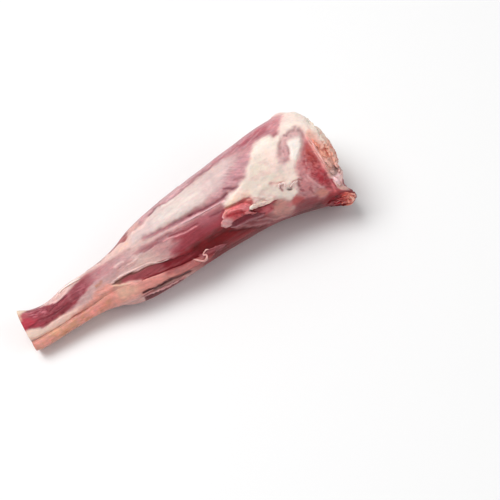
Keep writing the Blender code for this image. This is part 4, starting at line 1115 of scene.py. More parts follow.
def on_joint(h, d):
    """Places on the joint face: across it, with a dish on each side of 0, and up it."""
    across = (d - curve(BONE_D, BONE_FACE)) / curve(BONE_WIDE, BONE_FACE)
    return across, (h - curve(BONE_H, BONE_FACE)) / DISH_TALL


def bone_rows():
    """Rows of (S, H, D) points: marrow, sawn ring, shaft, knuckle and joint face."""
    angle = np.linspace(0, 2 * math.pi, BONE_COLUMNS, endpoint=False)
    zero = np.zeros(BONE_COLUMNS)
    rows = [
        (zero + MARROW_DEPTH, *bone_section(zero, angle, MARROW_SHARE * t))
        for t in np.linspace(0.1, 0.96, MARROW_ROWS)]
    rows += [
        (zero + MARROW_DEPTH * (1 - t), *bone_section(zero, angle, MARROW_SHARE + 0.02 * t))
        for t in (0.3, 0.7, 1.0)]
    rows += [(zero, *bone_section(zero, angle, t)) for t in np.linspace(0.66, 0.97, 6)]
    for stretch in ((0.4, 12, 12), (20, 262, 26), (264, BONE_FACE, 36)):
        rows += [(zero + s, *bone_section(zero + s, angle)) for s in np.linspace(*stretch)]
    for t in np.linspace(0.96, 0.03, 40):
        h, d = bone_section(zero + BONE_FACE, angle, t)
        across, up = on_joint(h, d)
        dish = -DISH_DEPTH * bell((np.abs(across) - DISH_PLACE) / 0.28) * bell(up)
        spine = SPINE_HEIGHT * bell(across / 0.16) * bell(up * 1.75)
        rows.append((zero + BONE_FACE + 1.6 * (1 - t * t) + dish + spine, h, d))
    return np.array(rows).transpose(0, 2, 1)


bone_grid = bone_rows()
bone_row_count = len(bone_grid)
bone = bone_grid.reshape(-1, 3)
bone_level = bone.copy()
within = np.minimum(bone[:, 0], FACE_S)
bone[:, 0] = lean_cut(within, bone[:, 1], bone[:, 2]) - within + bone[:, 0]
bone_out = grid_normals(bone, bone_row_count, BONE_COLUMNS)
across, up = on_joint(bone_level[:, 1], bone_level[:, 2])
bone_paint = np.tile(eight_bit((232, 208, 190)), (len(bone), 1))
marrow = np.repeat(np.arange(bone_row_count), BONE_COLUMNS) <= MARROW_ROWS
marrow_grain = 1 + 0.2 * noise(bone_level[marrow], (1.4, 1.4, 1.4), 91)
bone_paint[marrow] = eight_bit((178, 84, 78)) * marrow_grain[:, None]
joint = smooth(276, 284, bone_level[:, 0])
mottle = noise(bone_level, (4, 4, 4), 92) + 0.6 * noise(bone_level, (1.6, 1.6, 1.6), 93)
bone_paint = toward(bone_paint, eight_bit((226, 190, 172)), joint * smooth(-0.4, 0.8, mottle))
bone_paint = toward(bone_paint, eight_bit((200, 110, 98)), 0.7 * joint * smooth(0.3, 1.0, mottle))
from_dish = np.hypot((np.abs(across) - DISH_PLACE) / 0.42, up / 0.95)
cartilage = joint * smooth(1.15, 0.85, from_dish + 0.08 * mottle)
gristle_white = eight_bit((228, 222, 210)) * (1 + 0.03 * mottle)[:, None]
bone_paint = toward(bone_paint, gristle_white, 0.92 * cartilage)
wall = smooth(0.86, 1.0, np.hypot(up * DISH_TALL / curve(BONE_TALL, BONE_FACE), across))
left_on = joint * wall * smooth(4, 13, bone_level[:, 2]) * smooth(9, 3, bone_level[:, 1])
scraps = 0.7 * noise(bone_level, (2.4, 2.6, 2.6), 94) + 0.5 * noise(bone_level, (1.2, 1.2, 1.2), 95)
scrap_paint = toward(eight_bit((232, 184, 168)), eight_bit((196, 104, 90)), smooth(-0.1, 0.5, scraps))
bone_paint = toward(bone_paint, scrap_paint, left_on)
groove = joint * bell(across / 0.12) * smooth(0.2, 0.8, np.abs(up))
bone_paint = toward(bone_paint, eight_bit((188, 96, 84)), 0.8 * groove)
bone_rough = 0.42 - 0.16 * cartilage
bone_height = (1 - cartilage) * joint * 0.5 * mottle - 0.8 * groove + 0.9 * left_on * scraps
bone = bone + bone_out * bone_height[:, None]
bone_material = flesh_material("bone_and_cartilage", 0.25, 0.12, 0.0003)
piece_of(
    "leg_bone_shaft", [laid_grid(bone, bone_paint, bone_rough, bone_level, bone_row_count)],
    bone_material, "leg_bone")

# ---- Torn flap, lips and shreds ----
# Loose bits left by the knife: the flap of red meat at the end of the fat cover, the cream lips along
# its lower edge, the curled thread on the strap and the pale edges of torn sheath. Each is a thin lobe.

skin_tree = BVHTree.FromPolygons(
    [tuple(v.co) for v in meat.data.vertices] + [tuple(v.co) for v in tendon.data.vertices],
    [tuple(p.vertices) for p in meat.data.polygons]
    + [tuple(k + len(meat.data.vertices) for k in p.vertices) for p in tendon.data.polygons])
camera_turn = camera.matrix_world.to_3x3()


def under_camera(points):
    """Places and normals, in the row frame, of the skin under points of the shown plane.

    A point that misses the skin takes a place on its ray, right beside the skin."""
    c, s = math.cos(PICTURE_SLOPE), math.sin(PICTURE_SLOPE)
    focal = LENS / SENSOR * PICTURE_SIDE
    places, normals = [], []
    for along, across in np.asarray(points, float) / MM_PER_PIXEL:
        x = SAWN_PIXEL[0] + along * c - across * s - PICTURE_SIDE / 2
        y = PICTURE_SIDE / 2 - SAWN_PIXEL[1] + along * s + across * c
        ray = camera_turn @ Vector((x / focal, y / focal, -1.0)).normalized()
        place, normal, _, _ = skin_tree.ray_cast(camera.location, ray, 1.5)
        if place is None:
            beside = camera.location + ray * camera.location.length
            for _ in range(4):
                place, normal, _, _ = skin_tree.find_nearest(beside)
                beside = camera.location + ray * (place - camera.location).dot(ray)
            place = beside
        places.append(place)
        normals.append(normal)
    return np.array(places), np.array(normals)


def even(line, count):
    """The smooth curve through the points of a line, with its values read at evenly spaced places."""
    line = np.asarray(line, float)
    run = np.concatenate([[0], np.cumsum(np.linalg.norm(np.diff(line[:, :2], axis=0), axis=1))])
    at = np.linspace(0, run[-1], count)
    return np.stack([curve(tuple(zip(run, line[:, k])), at) for k in range(line.shape[1])], axis=1)


MOIST_ROUGHNESS = 0.34


def lobe(line, colour, edge, seed, count=40, sides=14, lump=0.3):
    """Thin rounded lobe on the skin: line holds (along, across, half width, half thickness, lift) in mm."""
    path = even(line, count)
    places, normals = under_camera(path[:, :2])
    for _ in range(3):
        normals[1:-1] = (normals[:-2] + normals[1:-1] + normals[2:]) / 3
    normals /= np.linalg.norm(normals, axis=1, keepdims=True)
    places = places + normals * path[:, 4:5] * MM
    for _ in range(2):
        places[1:-1] = (places[:-2] + 2 * places[1:-1] + places[2:]) / 4
    run = np.gradient(places, axis=0)
    aside = np.cross(normals, run)
    aside /= np.linalg.norm(aside, axis=1, keepdims=True)
    t = np.linspace(-1, 1, count)
    taper = np.sqrt(np.clip(1 - np.abs(t) ** 6, 0.002, 1))
    turn = np.linspace(0, 2 * math.pi, sides, endpoint=False)
    wide = (path[:, 2] * taper)[:, None] * np.cos(turn)
    thick = (path[:, 3] * taper)[:, None] * np.sin(turn)
    along, around = np.meshgrid(np.arange(count) * 1.0, turn, indexing="ij")
    fibre = wrapped(along * 0.5, around, 3)
    spots = fibre.reshape(-1, 3)
    rough_edge = 1 + lump * noise(spots, (2.0, 1.5, 1.5), seed).reshape(count, sides)
    points = (
        places[:, None] + aside[:, None] * (wide * rough_edge)[..., None] * MM
        + normals[:, None] * (thick * rough_edge)[..., None] * MM)
    blend = smooth(0.2, 1.0, np.abs(np.cos(turn)))[None, :, None] * np.ones((count, 1, 1))
    shade = eight_bit(colour) + (eight_bit(edge) - eight_bit(colour)) * blend
    grain = 1 + 0.14 * noise(spots, (2.4, 1.6, 1.6), seed + 1).reshape(count, sides)
    return points, shade * grain[..., None], MOIST_ROUGHNESS, fibre


DRAPED_ROUGHNESS = 0.42


def draped(upper, lower, thick, lift, base, marks, seed, rows=84, sides=44):
    """Loose tissue that lies on the skin between two lines of the shown plane, which meet at its two ends."""
    turn = np.linspace(0, 2 * math.pi, sides, endpoint=False)
    share = (1 - np.cos(turn)) / 2
    top, bottom = even(upper, rows), even(lower, rows)
    flat = (top[:, None] + (bottom - top)[:, None] * share[None, :, None]).reshape(-1, 2)
    spot = np.hstack([flat, np.tile(np.sin(turn), rows)[:, None]])
    ragged = np.stack([noise(spot, (1.8, 1.4, 3), seed + k) for k in (0, 1)], axis=1)
    finer = np.stack([noise(spot, (0.9, 0.8, 3), seed + k) for k in (5, 6)], axis=1)
    flat = flat + 0.5 * ragged + 0.25 * finer
    paint, height = marked(marks, flat, np.tile(eight_bit(base), (len(flat), 1)))
    places, normals = under_camera(flat)
    normals = normals.reshape(rows, sides, 3)
    for _ in range(4):
        normals[1:-1] = (normals[:-2] + normals[1:-1] + normals[2:]) / 3
        normals = (np.roll(normals, 1, axis=1) + normals + np.roll(normals, -1, axis=1)) / 3
    normals /= np.linalg.norm(normals, axis=2, keepdims=True)
    taper = np.sqrt(np.clip(1 - np.abs(np.linspace(-1, 1, rows)) ** 5, 0.01, 1))[:, None]
    lens = np.sign(np.sin(turn)) * np.abs(np.sin(turn)) ** 0.6
    lumps = 0.55 * noise(spot, (2.6, 1.6, 3), seed + 2) + 0.35 * noise(spot, (1.2, 0.8, 3), seed + 7)
    lumps = np.maximum(thick * lumps + height, 0.15 - thick).reshape(rows, sides)
    body = lift * taper + (thick + lumps * (lens > 0)) * taper * lens * np.where(lens > 0, 1.0, 0.4)
    points = places.reshape(rows, sides, 3) + normals * body[..., None] * MM
    grain = 1 + 0.08 * smeared(spot * (3, 1, 1), seed + 3) + 0.05 * noise(spot, (1.4, 1.1, 3), seed + 4)
    paint = paint * grain[:, None]
    return points, paint.reshape(rows, sides, 3), DRAPED_ROUGHNESS, (spot * (1, 1, 4)).reshape(rows, sides, 3)


# Upper line, lower line, thickness and lift in mm, base paint and marks of each draped bit.
LOOSE_TISSUE = (
    # mauve underside of the flap
    (((181, -12.4), (186, -10.4), (192, -10.2), (198, -10.4), (203, -12.4), (208, -15.4), (212, -18.4)),
     ((181, -12.4), (184, -15), (189, -16.4), (196, -17), (202, -18.4), (208, -19.4), (212, -18.4)),
     0.6, 0.1, (124, 58, 66), (
         # painted shadow of the flap across the lobe's upper part
         ("area", 2, (118, 34, 46), 0.9, -0.1, ((184, -10), (200, -10), (203, -15), (196, -15.6), (186, -14.4))),
         ((5, 0.9, -15), 1.2, (176, 122, 124), 0.7, 0.3, (
             (182, -14), (192, -15), (200, -15), (212, -18), (204, -19), (186, -17))),
         ("line", 0.8, (178, 124, 128), 0.7, 0.1, (
             (182, -13.4), (186, -15.6), (194, -16.4), (202, -17.6), (210, -18.8))))),
    # the flap of red meat, with its mauve tip
    (((176, -8.8), (177.6, -6.4), (180, -4.6), (180.4, -2.8), (182.6, -0.8), (186, 0.5), (190, 0), (194, -0.9),
      (198, -1.5), (202, -3), (205, -5.8)),
     ((176, -8.8), (178, -11.2), (181, -12.4), (184, -12), (187.4, -10.6), (192, -10.6), (196, -10.6), (200, -9.8),
      (203, -8.2), (205, -5.8)),
     0.9, 0.2, (214, 104, 106), (
         ("area", 1.4, (238, 140, 132), 0.9, 0.3, ((182.6, -1.6), (185, 0.4), (190, -0.4), (189.4, -3), (184, -3.4))),
         ("line", 1.4, (252, 140, 142), 0.95, 0.5, (
             (186.6, -1.8), (190.6, -2.2), (194.6, -3.4), (198.6, -5.4), (201.6, -7))),
         ("line", 1.3, (164, 42, 50), 0.95, -0.5, ((184.4, -4.4), (188.6, -5.2), (192.6, -6.4), (197, -8.2))),
         ("area", 1.4, (226, 130, 134), 0.9, 0.2, ((196, -2.6), (202, -3.4), (205, -6), (201, -8.2), (197, -6.4))),
         ((2, 1, -25), 1, (148, 44, 52), 0.5, -0.2, ((186, -5), (198, -6), (200, -10), (187, -10.4))),
         ("area", 1.4, (198, 82, 88), 0.7, 0.1, ((187.4, -7.6), (194, -8), (196, -9.8), (188, -9.8))),
         ("area", 1.8, (214, 154, 154), 0.9, 0.1, (
             (174, -9), (178, -5.6), (181, -4.4), (184, -5.4), (186.4, -7.6), (186, -10.6), (183, -13), (177, -11))),
         # painted highlights on the mauve tip
         ("line", 0.9, (226, 182, 180), 0.8, 0.2, ((177.6, -8.4), (180, -10.6), (182.4, -11.6))),
         ("line", 0.8, (222, 176, 176), 0.7, 0.2, ((179.6, -5.8), (182, -7), (184.6, -9.6))),
         ("line", 0.9, (242, 188, 190), 0.85, 0.2, ((180.4, -3.6), (182.4, -1.6), (184.8, -0.2))),
         # painted shade along the flap's lower fringe
         ("line", 1, (134, 44, 52), 0.8, -0.4, ((185, -11), (192, -11.2), (196, -11.2))))),
    # ridge of the flap's lower edge, and the cream lip beside it
    (((197, -8.8), (200.4, -9.2), (203.6, -11.2), (206, -14)),
     ((197, -8.8), (199.8, -11.4), (202.8, -13.8), (206, -14)),
     0.8, 0.9, (230, 140, 142), (
         ("line", 0.9, (190, 92, 94), 0.7, -0.1, ((197.6, -9.8), (201, -12.2), (205, -14))),)),
    (((202, -8.4), (203.6, -6.8), (207, -7), (212, -8.2), (217, -10), (223, -12.2)),
     ((202, -8.4), (203.2, -9.8), (206.6, -10.6), (211.6, -11.6), (217, -12.8), (223, -12.2)),
     0.5, 0.2, (252, 218, 204), (
         ("area", 1.4, (255, 240, 228), 1, 0.4, ((202.2, -7.2), (205.4, -7), (206, -9), (203.4, -9.4))),
         ((2.4, 0.9, -20), 0.8, (255, 232, 222), 0.7, 0.3, (
             (201, -7), (208, -7), (222, -12), (214, -12), (204, -10))),
         ((2.2, 0.8, -10), 0.8, (232, 176, 170), 0.7, -0.2, (
             (201, -8), (208, -9), (220, -12), (214, -12.6), (204, -10.6))))),
    # torn tip of the strap, and the lower edge of the shred beyond it
    (((148, -19.6), (155, -19.6), (162, -20), (168, -20.8), (173, -23)),
     ((148, -19.6), (152, -23.4), (160, -24.6), (168, -24.6), (173, -23)),
     0.5, 0.1, (154, 76, 82), (
         ((4, 0.8, -8), 1.2, (182, 104, 106), 0.8, 0.3, ((150, -20), (162, -20), (172, -22), (160, -23))),
         ("line", 0.9, (120, 34, 42), 0.8, -0.2, ((154, -23.4), (162, -24), (170, -24.2))))),
    # thin skin that bridges the lower gap under the strap
    (((92, -24.4), (100, -24.8), (108, -26), (118, -27), (131, -28.8)),
     ((92, -24.4), (99, -26.2), (108, -27.6), (118, -28.4), (131, -28.8)),
     0.4, 0.4, (206, 140, 140), (
         ((5, 0.7, -8), 0.8, (228, 176, 172), 0.8, 0.2, ((94, -24), (106, -25.6), (128, -28), (106, -28))),)),
    # the frayed lump's base at the lower corner of the cut
    (((256, -38), (261, -36.4), (266, -35.4), (271, -35.4), (276, -37), (279.4, -41.4)),
     ((256, -38), (261, -41.4), (266, -44), (271, -46.4), (276, -46.6), (279.4, -41.4)),
     0.7, 0, (132, 20, 30), (
         # painted shade: dark streaks over the lump's left part
         ((3, 1.2, -30), 1.5, (84, 6, 12), 0.8, -0.4, ((257, -36), (268, -34), (272, -40), (268, -45), (260, -42))),
         ("area", 2.2, (244, 142, 124), 0.9, 0.2, ((271.6, -36.6), (284, -34), (284, -50), (272, -48), (270, -41))))),
)
FRAY_MIDDLE, FRAY_REACH, FRAY_CURLS, FRAY_SEED = (266.0, -40.0), (8.0, 3.6), 8, 8
FRAY_TONES = (
    (256, (118, 12, 20)), (264, (150, 22, 32)), (270, (198, 74, 70)), (275, (236, 136, 118)), (282, (242, 172, 152)))


def fray_curls():
    """Short curled shreds, heaped on the lump: dark crimson to the left, darkened there as painted shade, and orange
    towards the cut.
    """
    draw = np.random.default_rng(FRAY_SEED)
    tone_at = [at for at, _ in FRAY_TONES]
    curls = []
    for _ in range(FRAY_CURLS):
        angle, share = draw.uniform(0, 2 * math.pi), math.sqrt(draw.uniform(0, 1)) * 0.85
        s = FRAY_MIDDLE[0] + FRAY_REACH[0] * share * math.cos(angle)
        h = FRAY_MIDDLE[1] + FRAY_REACH[1] * share * math.sin(angle) - 0.12 * (s - FRAY_MIDDLE[0])
        heading, bend = draw.uniform(-1.0, 0.5), draw.uniform(-0.5, 0.5)
        length, width = draw.uniform(1.5, 2.6), draw.uniform(0.8, 1.5)
        lift = 0.6 + 1.8 * (1 - share) * draw.uniform(0.6, 1)
        line = []
        for t in (-1.5, -0.5, 0.5, 1.5):
            swell = width * (1 - 0.25 * t * t)
            line.append((s, h, swell, 0.75 * swell, lift - 0.2 * t * t))
            s += length * math.cos(heading + bend * t)
            h += length * math.sin(heading + bend * t) * 0.8
        tone = np.array([np.interp(line[1][0], tone_at, [c[k] for _, c in FRAY_TONES]) for k in range(3)])
        tone = tone * draw.uniform(0.8, 1.12)
        curls.append((line, tone, np.minimum(tone * 1.1 + 10, 250)))
    return curls


# Run, middle paint and edge paint of each shred.
SHREDS = (
    # thread curled on the strap
    (((142.6, -19.6, 0.4, 0.3, 0.2), (145.2, -21.8, 0.7, 0.5, 0.4), (147.6, -24, 0.75, 0.55, 0.6),
      (150, -25.4, 0.8, 0.6, 0.8), (152.4, -25, 0.75, 0.6, 0.9), (154, -23.4, 0.65, 0.5, 1),
      (153.2, -22, 0.6, 0.5, 1.1), (151.6, -21.6, 0.7, 0.5, 1.2), (152.4, -20.2, 0.65, 0.5, 1.2),
      (153.8, -19, 0.6, 0.5, 1.2), (156, -18.2, 0.6, 0.5, 1), (158, -19.6, 0.5, 0.4, 0.7)),
     (222, 156, 152), (240, 190, 182)),
    # pale torn edges of the sheath over the gap
    (((79, -2.2, 0.3, 0.3, 0.2), (87, -1.8, 0.5, 0.4, 0.3), (96, -2.6, 0.6, 0.4, 0.3), (106, -3.7, 0.6, 0.4, 0.3),
      (112, -5, 0.5, 0.4, 0.3), (118, -7.8, 0.4, 0.35, 0.3), (127, -10, 0.3, 0.3, 0.1)),
     (228, 188, 182), (236, 204, 198)),
    (((146, 9.2, 0.3, 0.3, 0.1), (156, 8.5, 0.5, 0.4, 0.3), (170, 8, 0.5, 0.4, 0.3), (186, 7.4, 0.3, 0.3, 0.1)),
     (222, 176, 180), (228, 188, 190)),
    # loose edge of skin on the upper side of the thin end
    (((36, 11.6, 0.4, 0.3, 0.3), (42, 13, 0.8, 0.5, 0.7), (50, 13.4, 0.9, 0.5, 0.7), (58, 13.2, 0.5, 0.3, 0.3)),
     (255, 234, 226), (248, 220, 212)),
    # curled rim of the pit in the fat
    (((231, -6, 0.7, 0.5, 1.6), (232, -3.8, 0.8, 0.6, 1.8), (235, -3.4, 0.8, 0.6, 1.9), (236.6, -5.6, 0.7, 0.5, 1.6),
      (235.4, -8, 0.6, 0.5, 1.4)),
     (246, 212, 206), (248, 224, 216)),
    (((239, -9.6, 0.6, 0.5, 1.4), (243, -8.2, 0.9, 0.6, 1.6), (246.6, -9, 0.7, 0.5, 1.2)),
     (240, 206, 200), (244, 216, 208)),
    # ligament, fat and membrane that stand proud of the rim of the cut
    (((271.4, 18, 0.5, 0.4, 0.4), (272.4, 10, 0.9, 0.7, 0.6), (272, 3, 0.9, 0.7, 0.6), (272.4, -6, 0.9, 0.7, 0.6),
      (271.6, -14, 0.5, 0.4, 0.4)),
     (236, 172, 166), (240, 182, 174)),
    (((273.4, 14, 0.7, 0.5, 0.4), (274.4, 9, 1.2, 0.8, 0.7), (275.4, 4.6, 0.9, 0.7, 0.6)),
     (240, 150, 130), (244, 172, 152)),
    (((274.6, 2.4, 0.9, 0.7, 0.5), (275.2, -2, 1.4, 1, 0.8), (276, -5.4, 0.9, 0.7, 0.6)),
     (236, 158, 136), (240, 180, 160)),
    (((273.6, -5.6, 1.2, 0.8, 0.4), (275.2, -9.4, 1.9, 1.1, 0.6), (276, -14, 1.2, 0.8, 0.5)),
     (230, 172, 158), (232, 184, 170)),
    (((273.6, -15.4, 0.9, 0.6, 0.4), (275, -18, 1.5, 0.8, 0.6), (275.4, -20.6, 1, 0.7, 0.5)),
     (196, 154, 146), (210, 174, 166)),
    (((272.8, -21, 0.8, 0.6, 0.4), (274, -25, 1.3, 0.8, 0.6), (274, -29.6, 0.8, 0.6, 0.4)),
     (250, 206, 210), (252, 216, 216)),
    # ridges of the flap
    (((181.4, -3.4, 0.5, 0.5, 1), (183.2, -1.6, 0.8, 0.6, 1.2), (186, -0.6, 1, 0.7, 1.2), (189.4, -0.9, 0.7, 0.6, 1)),
     (240, 156, 150), (232, 138, 130)),
    (((187, -2.2, 0.7, 0.6, 1.1), (191, -2.6, 1.1, 0.8, 1.3), (195.4, -3.9, 1.1, 0.8, 1.3), (200, -6.3, 0.7, 0.6, 1)),
     (252, 144, 146), (222, 100, 104)),
    (((198.4, -4.6, 0.5, 0.5, 0.9), (201.4, -5.2, 0.8, 0.6, 1), (204, -6.4, 0.5, 0.5, 0.8)),
     (230, 134, 136), (206, 104, 106)),
    # curled shreds of the frayed lump
    (((268, -42.6, 0.7, 0.6, 0.7), (269.8, -41.4, 1.2, 0.8, 1.2), (271.8, -42.2, 0.8, 0.6, 1)),
     (236, 130, 118), (196, 84, 76)),
    (((270.4, -37.6, 0.6, 0.5, 0.7), (273.6, -37.4, 0.9, 0.7, 1.1), (276.4, -38.8, 0.8, 0.6, 0.9)),
     (230, 122, 108), (186, 66, 58)),
    (((273.6, -40.6, 0.8, 0.6, 0.9), (274, -42.8, 1.4, 1, 1.4), (273.4, -44.8, 0.9, 0.7, 0.9)),
     (244, 154, 136), (214, 104, 92)),
    (((276.4, -40.4, 0.8, 0.6, 0.9), (277.6, -42.8, 1.6, 1.1, 1.3), (276.8, -45.2, 1, 0.8, 0.8)),
     (255, 194, 174), (238, 148, 130)),
    (((278, -39.2, 0.6, 0.5, 0.5), (279.8, -41.6, 1, 0.7, 0.7), (279.8, -44, 0.8, 0.6, 0.4)),
     (238, 164, 152), (222, 140, 128)),
    (((270, -45.2, 0.7, 0.5, 0.5), (273, -46, 1.1, 0.8, 0.8), (276.4, -46.4, 0.8, 0.6, 0.5)),
     (252, 184, 164), (232, 138, 120)),
    (((264.6, -39.8, 0.4, 0.4, 0.6), (266.8, -38.8, 0.7, 0.5, 1), (269, -39.2, 0.5, 0.4, 0.8)),
     (220, 128, 128), (170, 64, 66)),
    (((262, -40.6, 0.4, 0.4, 0.6), (264.4, -39.2, 0.7, 0.5, 1), (266.6, -38.8, 0.7, 0.5, 1),
      (268.6, -39.8, 0.4, 0.4, 0.7)),
     (206, 116, 118), (150, 44, 50)),
    (((258, -37.6, 0.6, 0.5, 0.4), (261, -37, 1, 0.7, 0.7), (264, -37.4, 1, 0.7, 0.8), (267, -38.6, 0.6, 0.5, 0.6)),
     (146, 36, 44), (96, 10, 18)),
)
loose = [draped(*piece, 400 + 9 * k) for k, piece in enumerate(LOOSE_TISSUE)]
loose += [lobe(*shred, 100 + 7 * k) for k, shred in enumerate(SHREDS)]
loose += [lobe(*curl, 900 + 7 * k, 22, 12, 0.4) for k, curl in enumerate(fray_curls())]
piece_of("torn_flap_and_shreds", loose, moist, "shank_meat")

# ---- Frayed end tissue ----
# Where the joint was cut through, bits of ligament, fat and meat stand ragged round the rim of the
# thick end, thickest at its lower corner.

# Angles round the leg in radians, and (share of the way in to the bone, S in front of the cut) of each ring.
RIM_POINTS, RIM_START, RIM_STOP = 120, 1.2, 1.9
RIM_RINGS = ((0.03, -1.4), (0.13, -0.5), (0.25, -0.2))
BITS_PER_RING, BIT_LENGTH, BIT_SEED = 16, 0.0026, 3
BIT_PORES, BIT_ROUGHENING = 520.0, 0.0026
RIM_TONES = (
    (1.2, (244, 210, 194)), (1.4, (246, 180, 158)), (1.6, (246, 178, 158)), (1.8, (228, 180, 172)),
    (1.9, (222, 184, 178)))

rim_angle = np.linspace(RIM_START, RIM_STOP, RIM_POINTS)
rim_co, rim_ahead, rim_inward, rim_size = [], [], [], []
for share, proud in RIM_RINGS:
    end = np.full(RIM_POINTS, FACE_S)
    outer, inner = section(end, rim_angle), bone_section(end, rim_angle)
    h, d = (outer[k] + (inner[k] - outer[k]) * share for k in range(2))
    point = np.stack([lean_cut(end, h, d) + proud + notched(h, d) * (1 - share) ** 2, h, d], axis=1)
    rim_co.append(laid(point))
    rim_ahead.append(np.tile(LEG_TURN @ (1.0, 0.0, 0.0), (RIM_POINTS, 1)))
    to_bone = laid(np.stack([point[:, 0], curve(BONE_H, end), curve(BONE_D, end)], axis=1)) - rim_co[-1]
    rim_inward.append(to_bone / np.linalg.norm(to_bone, axis=1, keepdims=True))
    rim_size.append(0.4 + 0.6 * bell((rim_angle - 1.58) / 0.25))
rim_line = bpy.data.meshes.new("rim_line")
starts = [k * RIM_POINTS + i for k in range(len(RIM_RINGS)) for i in range(RIM_POINTS - 1)]
rim_line.from_pydata([tuple(p) for ring in rim_co for p in ring], [(k, k + 1) for k in starts], [])
rim_turn = np.tile(rim_angle, len(RIM_RINGS))
tone_at, tones = [at for at, _ in RIM_TONES], np.array([eight_bit(tone) for _, tone in RIM_TONES])
rim_paint = np.stack([np.interp(rim_turn, tone_at, tones[:, k]) for k in range(3)], axis=1)
rim_roughness = np.full((len(rim_turn), 1), MOIST_ROUGHNESS)
for label, kind, field, values in (
        ("paint", "FLOAT_COLOR", "color", np.hstack([linear(rim_paint), rim_roughness])),
        ("ahead", "FLOAT_VECTOR", "vector", np.concatenate(rim_ahead)),
        ("inward", "FLOAT_VECTOR", "vector", np.concatenate(rim_inward)),
        ("size", "FLOAT", "value", np.concatenate(rim_size))):
    rim_line.attributes.new(label, kind, "POINT").data.foreach_set(field, values.astype(np.float32).ravel())

tree = bpy.data.node_groups.new("frayed_bits_on_rim", "GeometryNodeTree")
for label, socket, way in (
        ("Geometry", "NodeSocketGeometry", "INPUT"), ("Bits per ring", "NodeSocketInt", "INPUT"),
        ("Bit length", "NodeSocketFloat", "INPUT"), ("Seed", "NodeSocketInt", "INPUT"),
        ("Geometry", "NodeSocketGeometry", "OUTPUT")):
    tree.interface.new_socket(label, in_out=way, socket_type=socket)


def step(kind, settings=None, **values):
    """First output of a new node of the tree; a value is a number, a vector or another node's output."""
    node = tree.nodes.new(kind)
    for label, value in (settings or {}).items():
        setattr(node, label, value)
    for label, value in values.items():
        socket = next(s for s in node.inputs if s.name.replace(" ", "_") == label and s.enabled)
        if isinstance(value, bpy.types.NodeSocket):
            tree.links.new(value, socket)
        else:
            socket.default_value = value
    return next(s for s in node.outputs if s.enabled)


def held(label, kind="FLOAT_VECTOR"):
    """What the rim line holds at each point under that name."""
    return step("GeometryNodeInputNamedAttribute", {"data_type": kind}, Name=label)


def drawn(low, high, shift, kind="FLOAT"):
    """Random value or vector for each bit."""
    seed = maths(tree, "ADD", given["Seed"], shift)
    return step("FunctionNodeRandomValue", {"data_type": kind}, Min=low, Max=high, Seed=seed)


def scaled(vector, amount):
    return step("ShaderNodeVectorMath", {"operation": "SCALE"}, Vector=vector, Scale=amount)


def stored(geometry, label, value, domain):
    """The geometry with a vector kept on it under that name."""
    settings = {"data_type": "FLOAT_VECTOR", "domain": domain}
    return step("GeometryNodeStoreNamedAttribute", settings, Geometry=geometry, Name=label, Value=value)


# Points along each ring, moved a little in or out.
given = tree.nodes.new("NodeGroupInput").outputs
line = step("GeometryNodeMeshToCurve", Mesh=given["Geometry"])
line = step("GeometryNodeResampleCurve", Curve=line, Count=given["Bits per ring"])
spots = step("GeometryNodeCurveToPoints", {"mode": "EVALUATED"}, Curve=line)
moved_in = scaled(held("inward"), drawn(-0.0008, 0.0030, 1))
spots = step("GeometryNodeSetPosition", Geometry=spots, Offset=moved_in)

# A long bit on each point, which points more or less out of the cut.
facing = step("FunctionNodeAlignRotationToVector", {"axis": "Z"}, Vector=held("ahead"))
wobble = drawn((-0.5, -0.5, 0.0), (0.5, 0.5, 6.28), 2, "FLOAT_VECTOR")
facing = step("FunctionNodeRotateRotation", {"rotation_space": "LOCAL"}, Rotation=facing, Rotate_By=wobble)
length = maths(tree, "MULTIPLY", given["Bit length"], held("size", "FLOAT"))
grown = scaled(drawn((0.7, 0.4, 0.3), (1.5, 0.9, 0.5), 3, "FLOAT_VECTOR"), length)
ball = step("GeometryNodeMeshIcoSphere", Radius=1.0, Subdivisions=3)
bits = step("GeometryNodeInstanceOnPoints", Points=spots, Instance=ball, Rotation=facing, Scale=grown)
tint = maths(tree, "MULTIPLY", held("paint", "FLOAT_COLOR"), drawn(0.82, 1.16, 4), kind="ShaderNodeVectorMath")
bits = stored(bits, "tone", tint, "INSTANCE")
bits = step("GeometryNodeRealizeInstances", Geometry=bits)

# Their surfaces are roughened, and keep their places as the fibre.
place = step("GeometryNodeInputPosition")
pores = step("ShaderNodeTexNoise", Vector=place, Scale=BIT_PORES, Detail=3.0)
push = maths(tree, "MULTIPLY", maths(tree, "SUBTRACT", pores, 0.5), BIT_ROUGHENING)
bits = step("GeometryNodeSetPosition", Geometry=bits, Offset=scaled(step("GeometryNodeInputNormal"), push))
bits = stored(bits, "fibre", scaled(place, 1000.0), "POINT")
bits = step("GeometryNodeSetShadeSmooth", Geometry=bits)
bits = step("GeometryNodeSetMaterial", Geometry=bits, Material=moist)
tree.links.new(bits, tree.nodes.new("NodeGroupOutput").inputs["Geometry"])

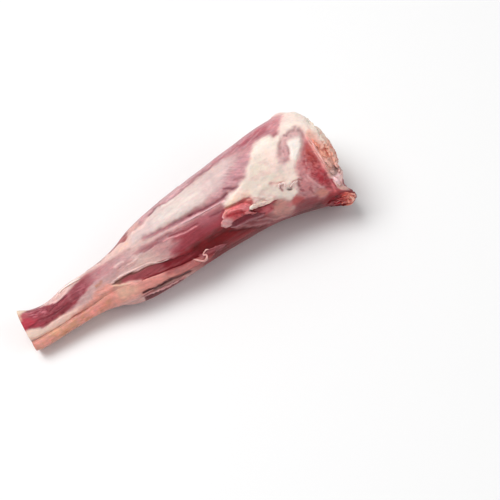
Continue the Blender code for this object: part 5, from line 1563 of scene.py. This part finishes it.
maker = bpy.data.objects.new("frayed_bits_maker", rim_line)
bpy.context.scene.collection.objects.link(maker)
modifier = maker.modifiers.new("bits", "NODES")
modifier.node_group = tree
sockets = {s.name: s.identifier for s in tree.interface.items_tree if s.in_out == "INPUT"}
for label, value in (("Bits per ring", BITS_PER_RING), ("Bit length", BIT_LENGTH), ("Seed", BIT_SEED)):
    modifier[sockets[label]] = value
frayed_mesh = bpy.data.meshes.new_from_object(maker.evaluated_get(bpy.context.evaluated_depsgraph_get()))
bpy.data.objects.remove(maker)
bit_tone = np.empty(len(frayed_mesh.vertices) * 3, np.float32)
frayed_mesh.attributes["tone"].data.foreach_get("vector", bit_tone)
if "paint" in frayed_mesh.attributes:
    frayed_mesh.attributes.remove(frayed_mesh.attributes["paint"])
bit_roughness = np.full((len(frayed_mesh.vertices), 1), MOIST_ROUGHNESS, np.float32)
bit_paint = np.hstack([np.clip(bit_tone.reshape(-1, 3), 0.01, 1), bit_roughness])
frayed_mesh.attributes.new("paint", "FLOAT_COLOR", "POINT").data.foreach_set("color", bit_paint.ravel())
frayed = bpy.data.objects.new("frayed_end_tissue", frayed_mesh)
bpy.context.scene.collection.objects.link(frayed)
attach(frayed, "root")
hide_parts("shank_meat")

# ---- Table, lights and background ----
# A plain pale table, with broad soft studio light from the upper left and a fill from the right.

TABLE_HALF, TABLE_GREY, SKY_STRENGTH = 3.0, 0.92, 0.40
SHANK_MIDDLE = Vector((0, 0, 0.03))

floor = bpy.data.objects.new("table", bpy.data.meshes.new("table"))
corners = [(x * TABLE_HALF, y * TABLE_HALF, 0) for x, y in ((-1, -1), (1, -1), (1, 1), (-1, 1))]
floor.data.from_pydata(corners, [], [(0, 1, 2, 3)])
bpy.context.scene.collection.objects.link(floor)
table = bpy.data.materials.new("pale_table")
table.use_nodes = True
table_shader = table.node_tree.nodes["Principled BSDF"]
table_shader.inputs["Base Color"].default_value = (TABLE_GREY, TABLE_GREY, TABLE_GREY, 1)
table_shader.inputs["Roughness"].default_value = 0.9
floor.data.materials.append(table)

world = bpy.data.worlds.new("studio")
world.use_nodes = True
sky = world.node_tree.nodes["Background"]
sky.inputs["Color"].default_value = (1, 1, 1, 1)
sky.inputs["Strength"].default_value = SKY_STRENGTH
bpy.context.scene.world = world


def soft_light(name, place, side, power):
    """Square soft light aimed at the middle of the shank."""
    lamp = bpy.data.lights.new(name, "AREA")
    lamp.size = side
    lamp.energy = power
    light = bpy.data.objects.new(name, lamp)
    light.location = place
    light.rotation_euler = (SHANK_MIDDLE - Vector(place)).to_track_quat("-Z", "Y").to_euler()
    bpy.context.scene.collection.objects.link(light)


soft_light("key", (-0.84, 0.80, 2.2), 1.6, 50.0)
soft_light("fill", (1.4, -1.2, 1.4), 1.8, 8.0)
bpy.context.scene.view_settings.view_transform = "Standard"
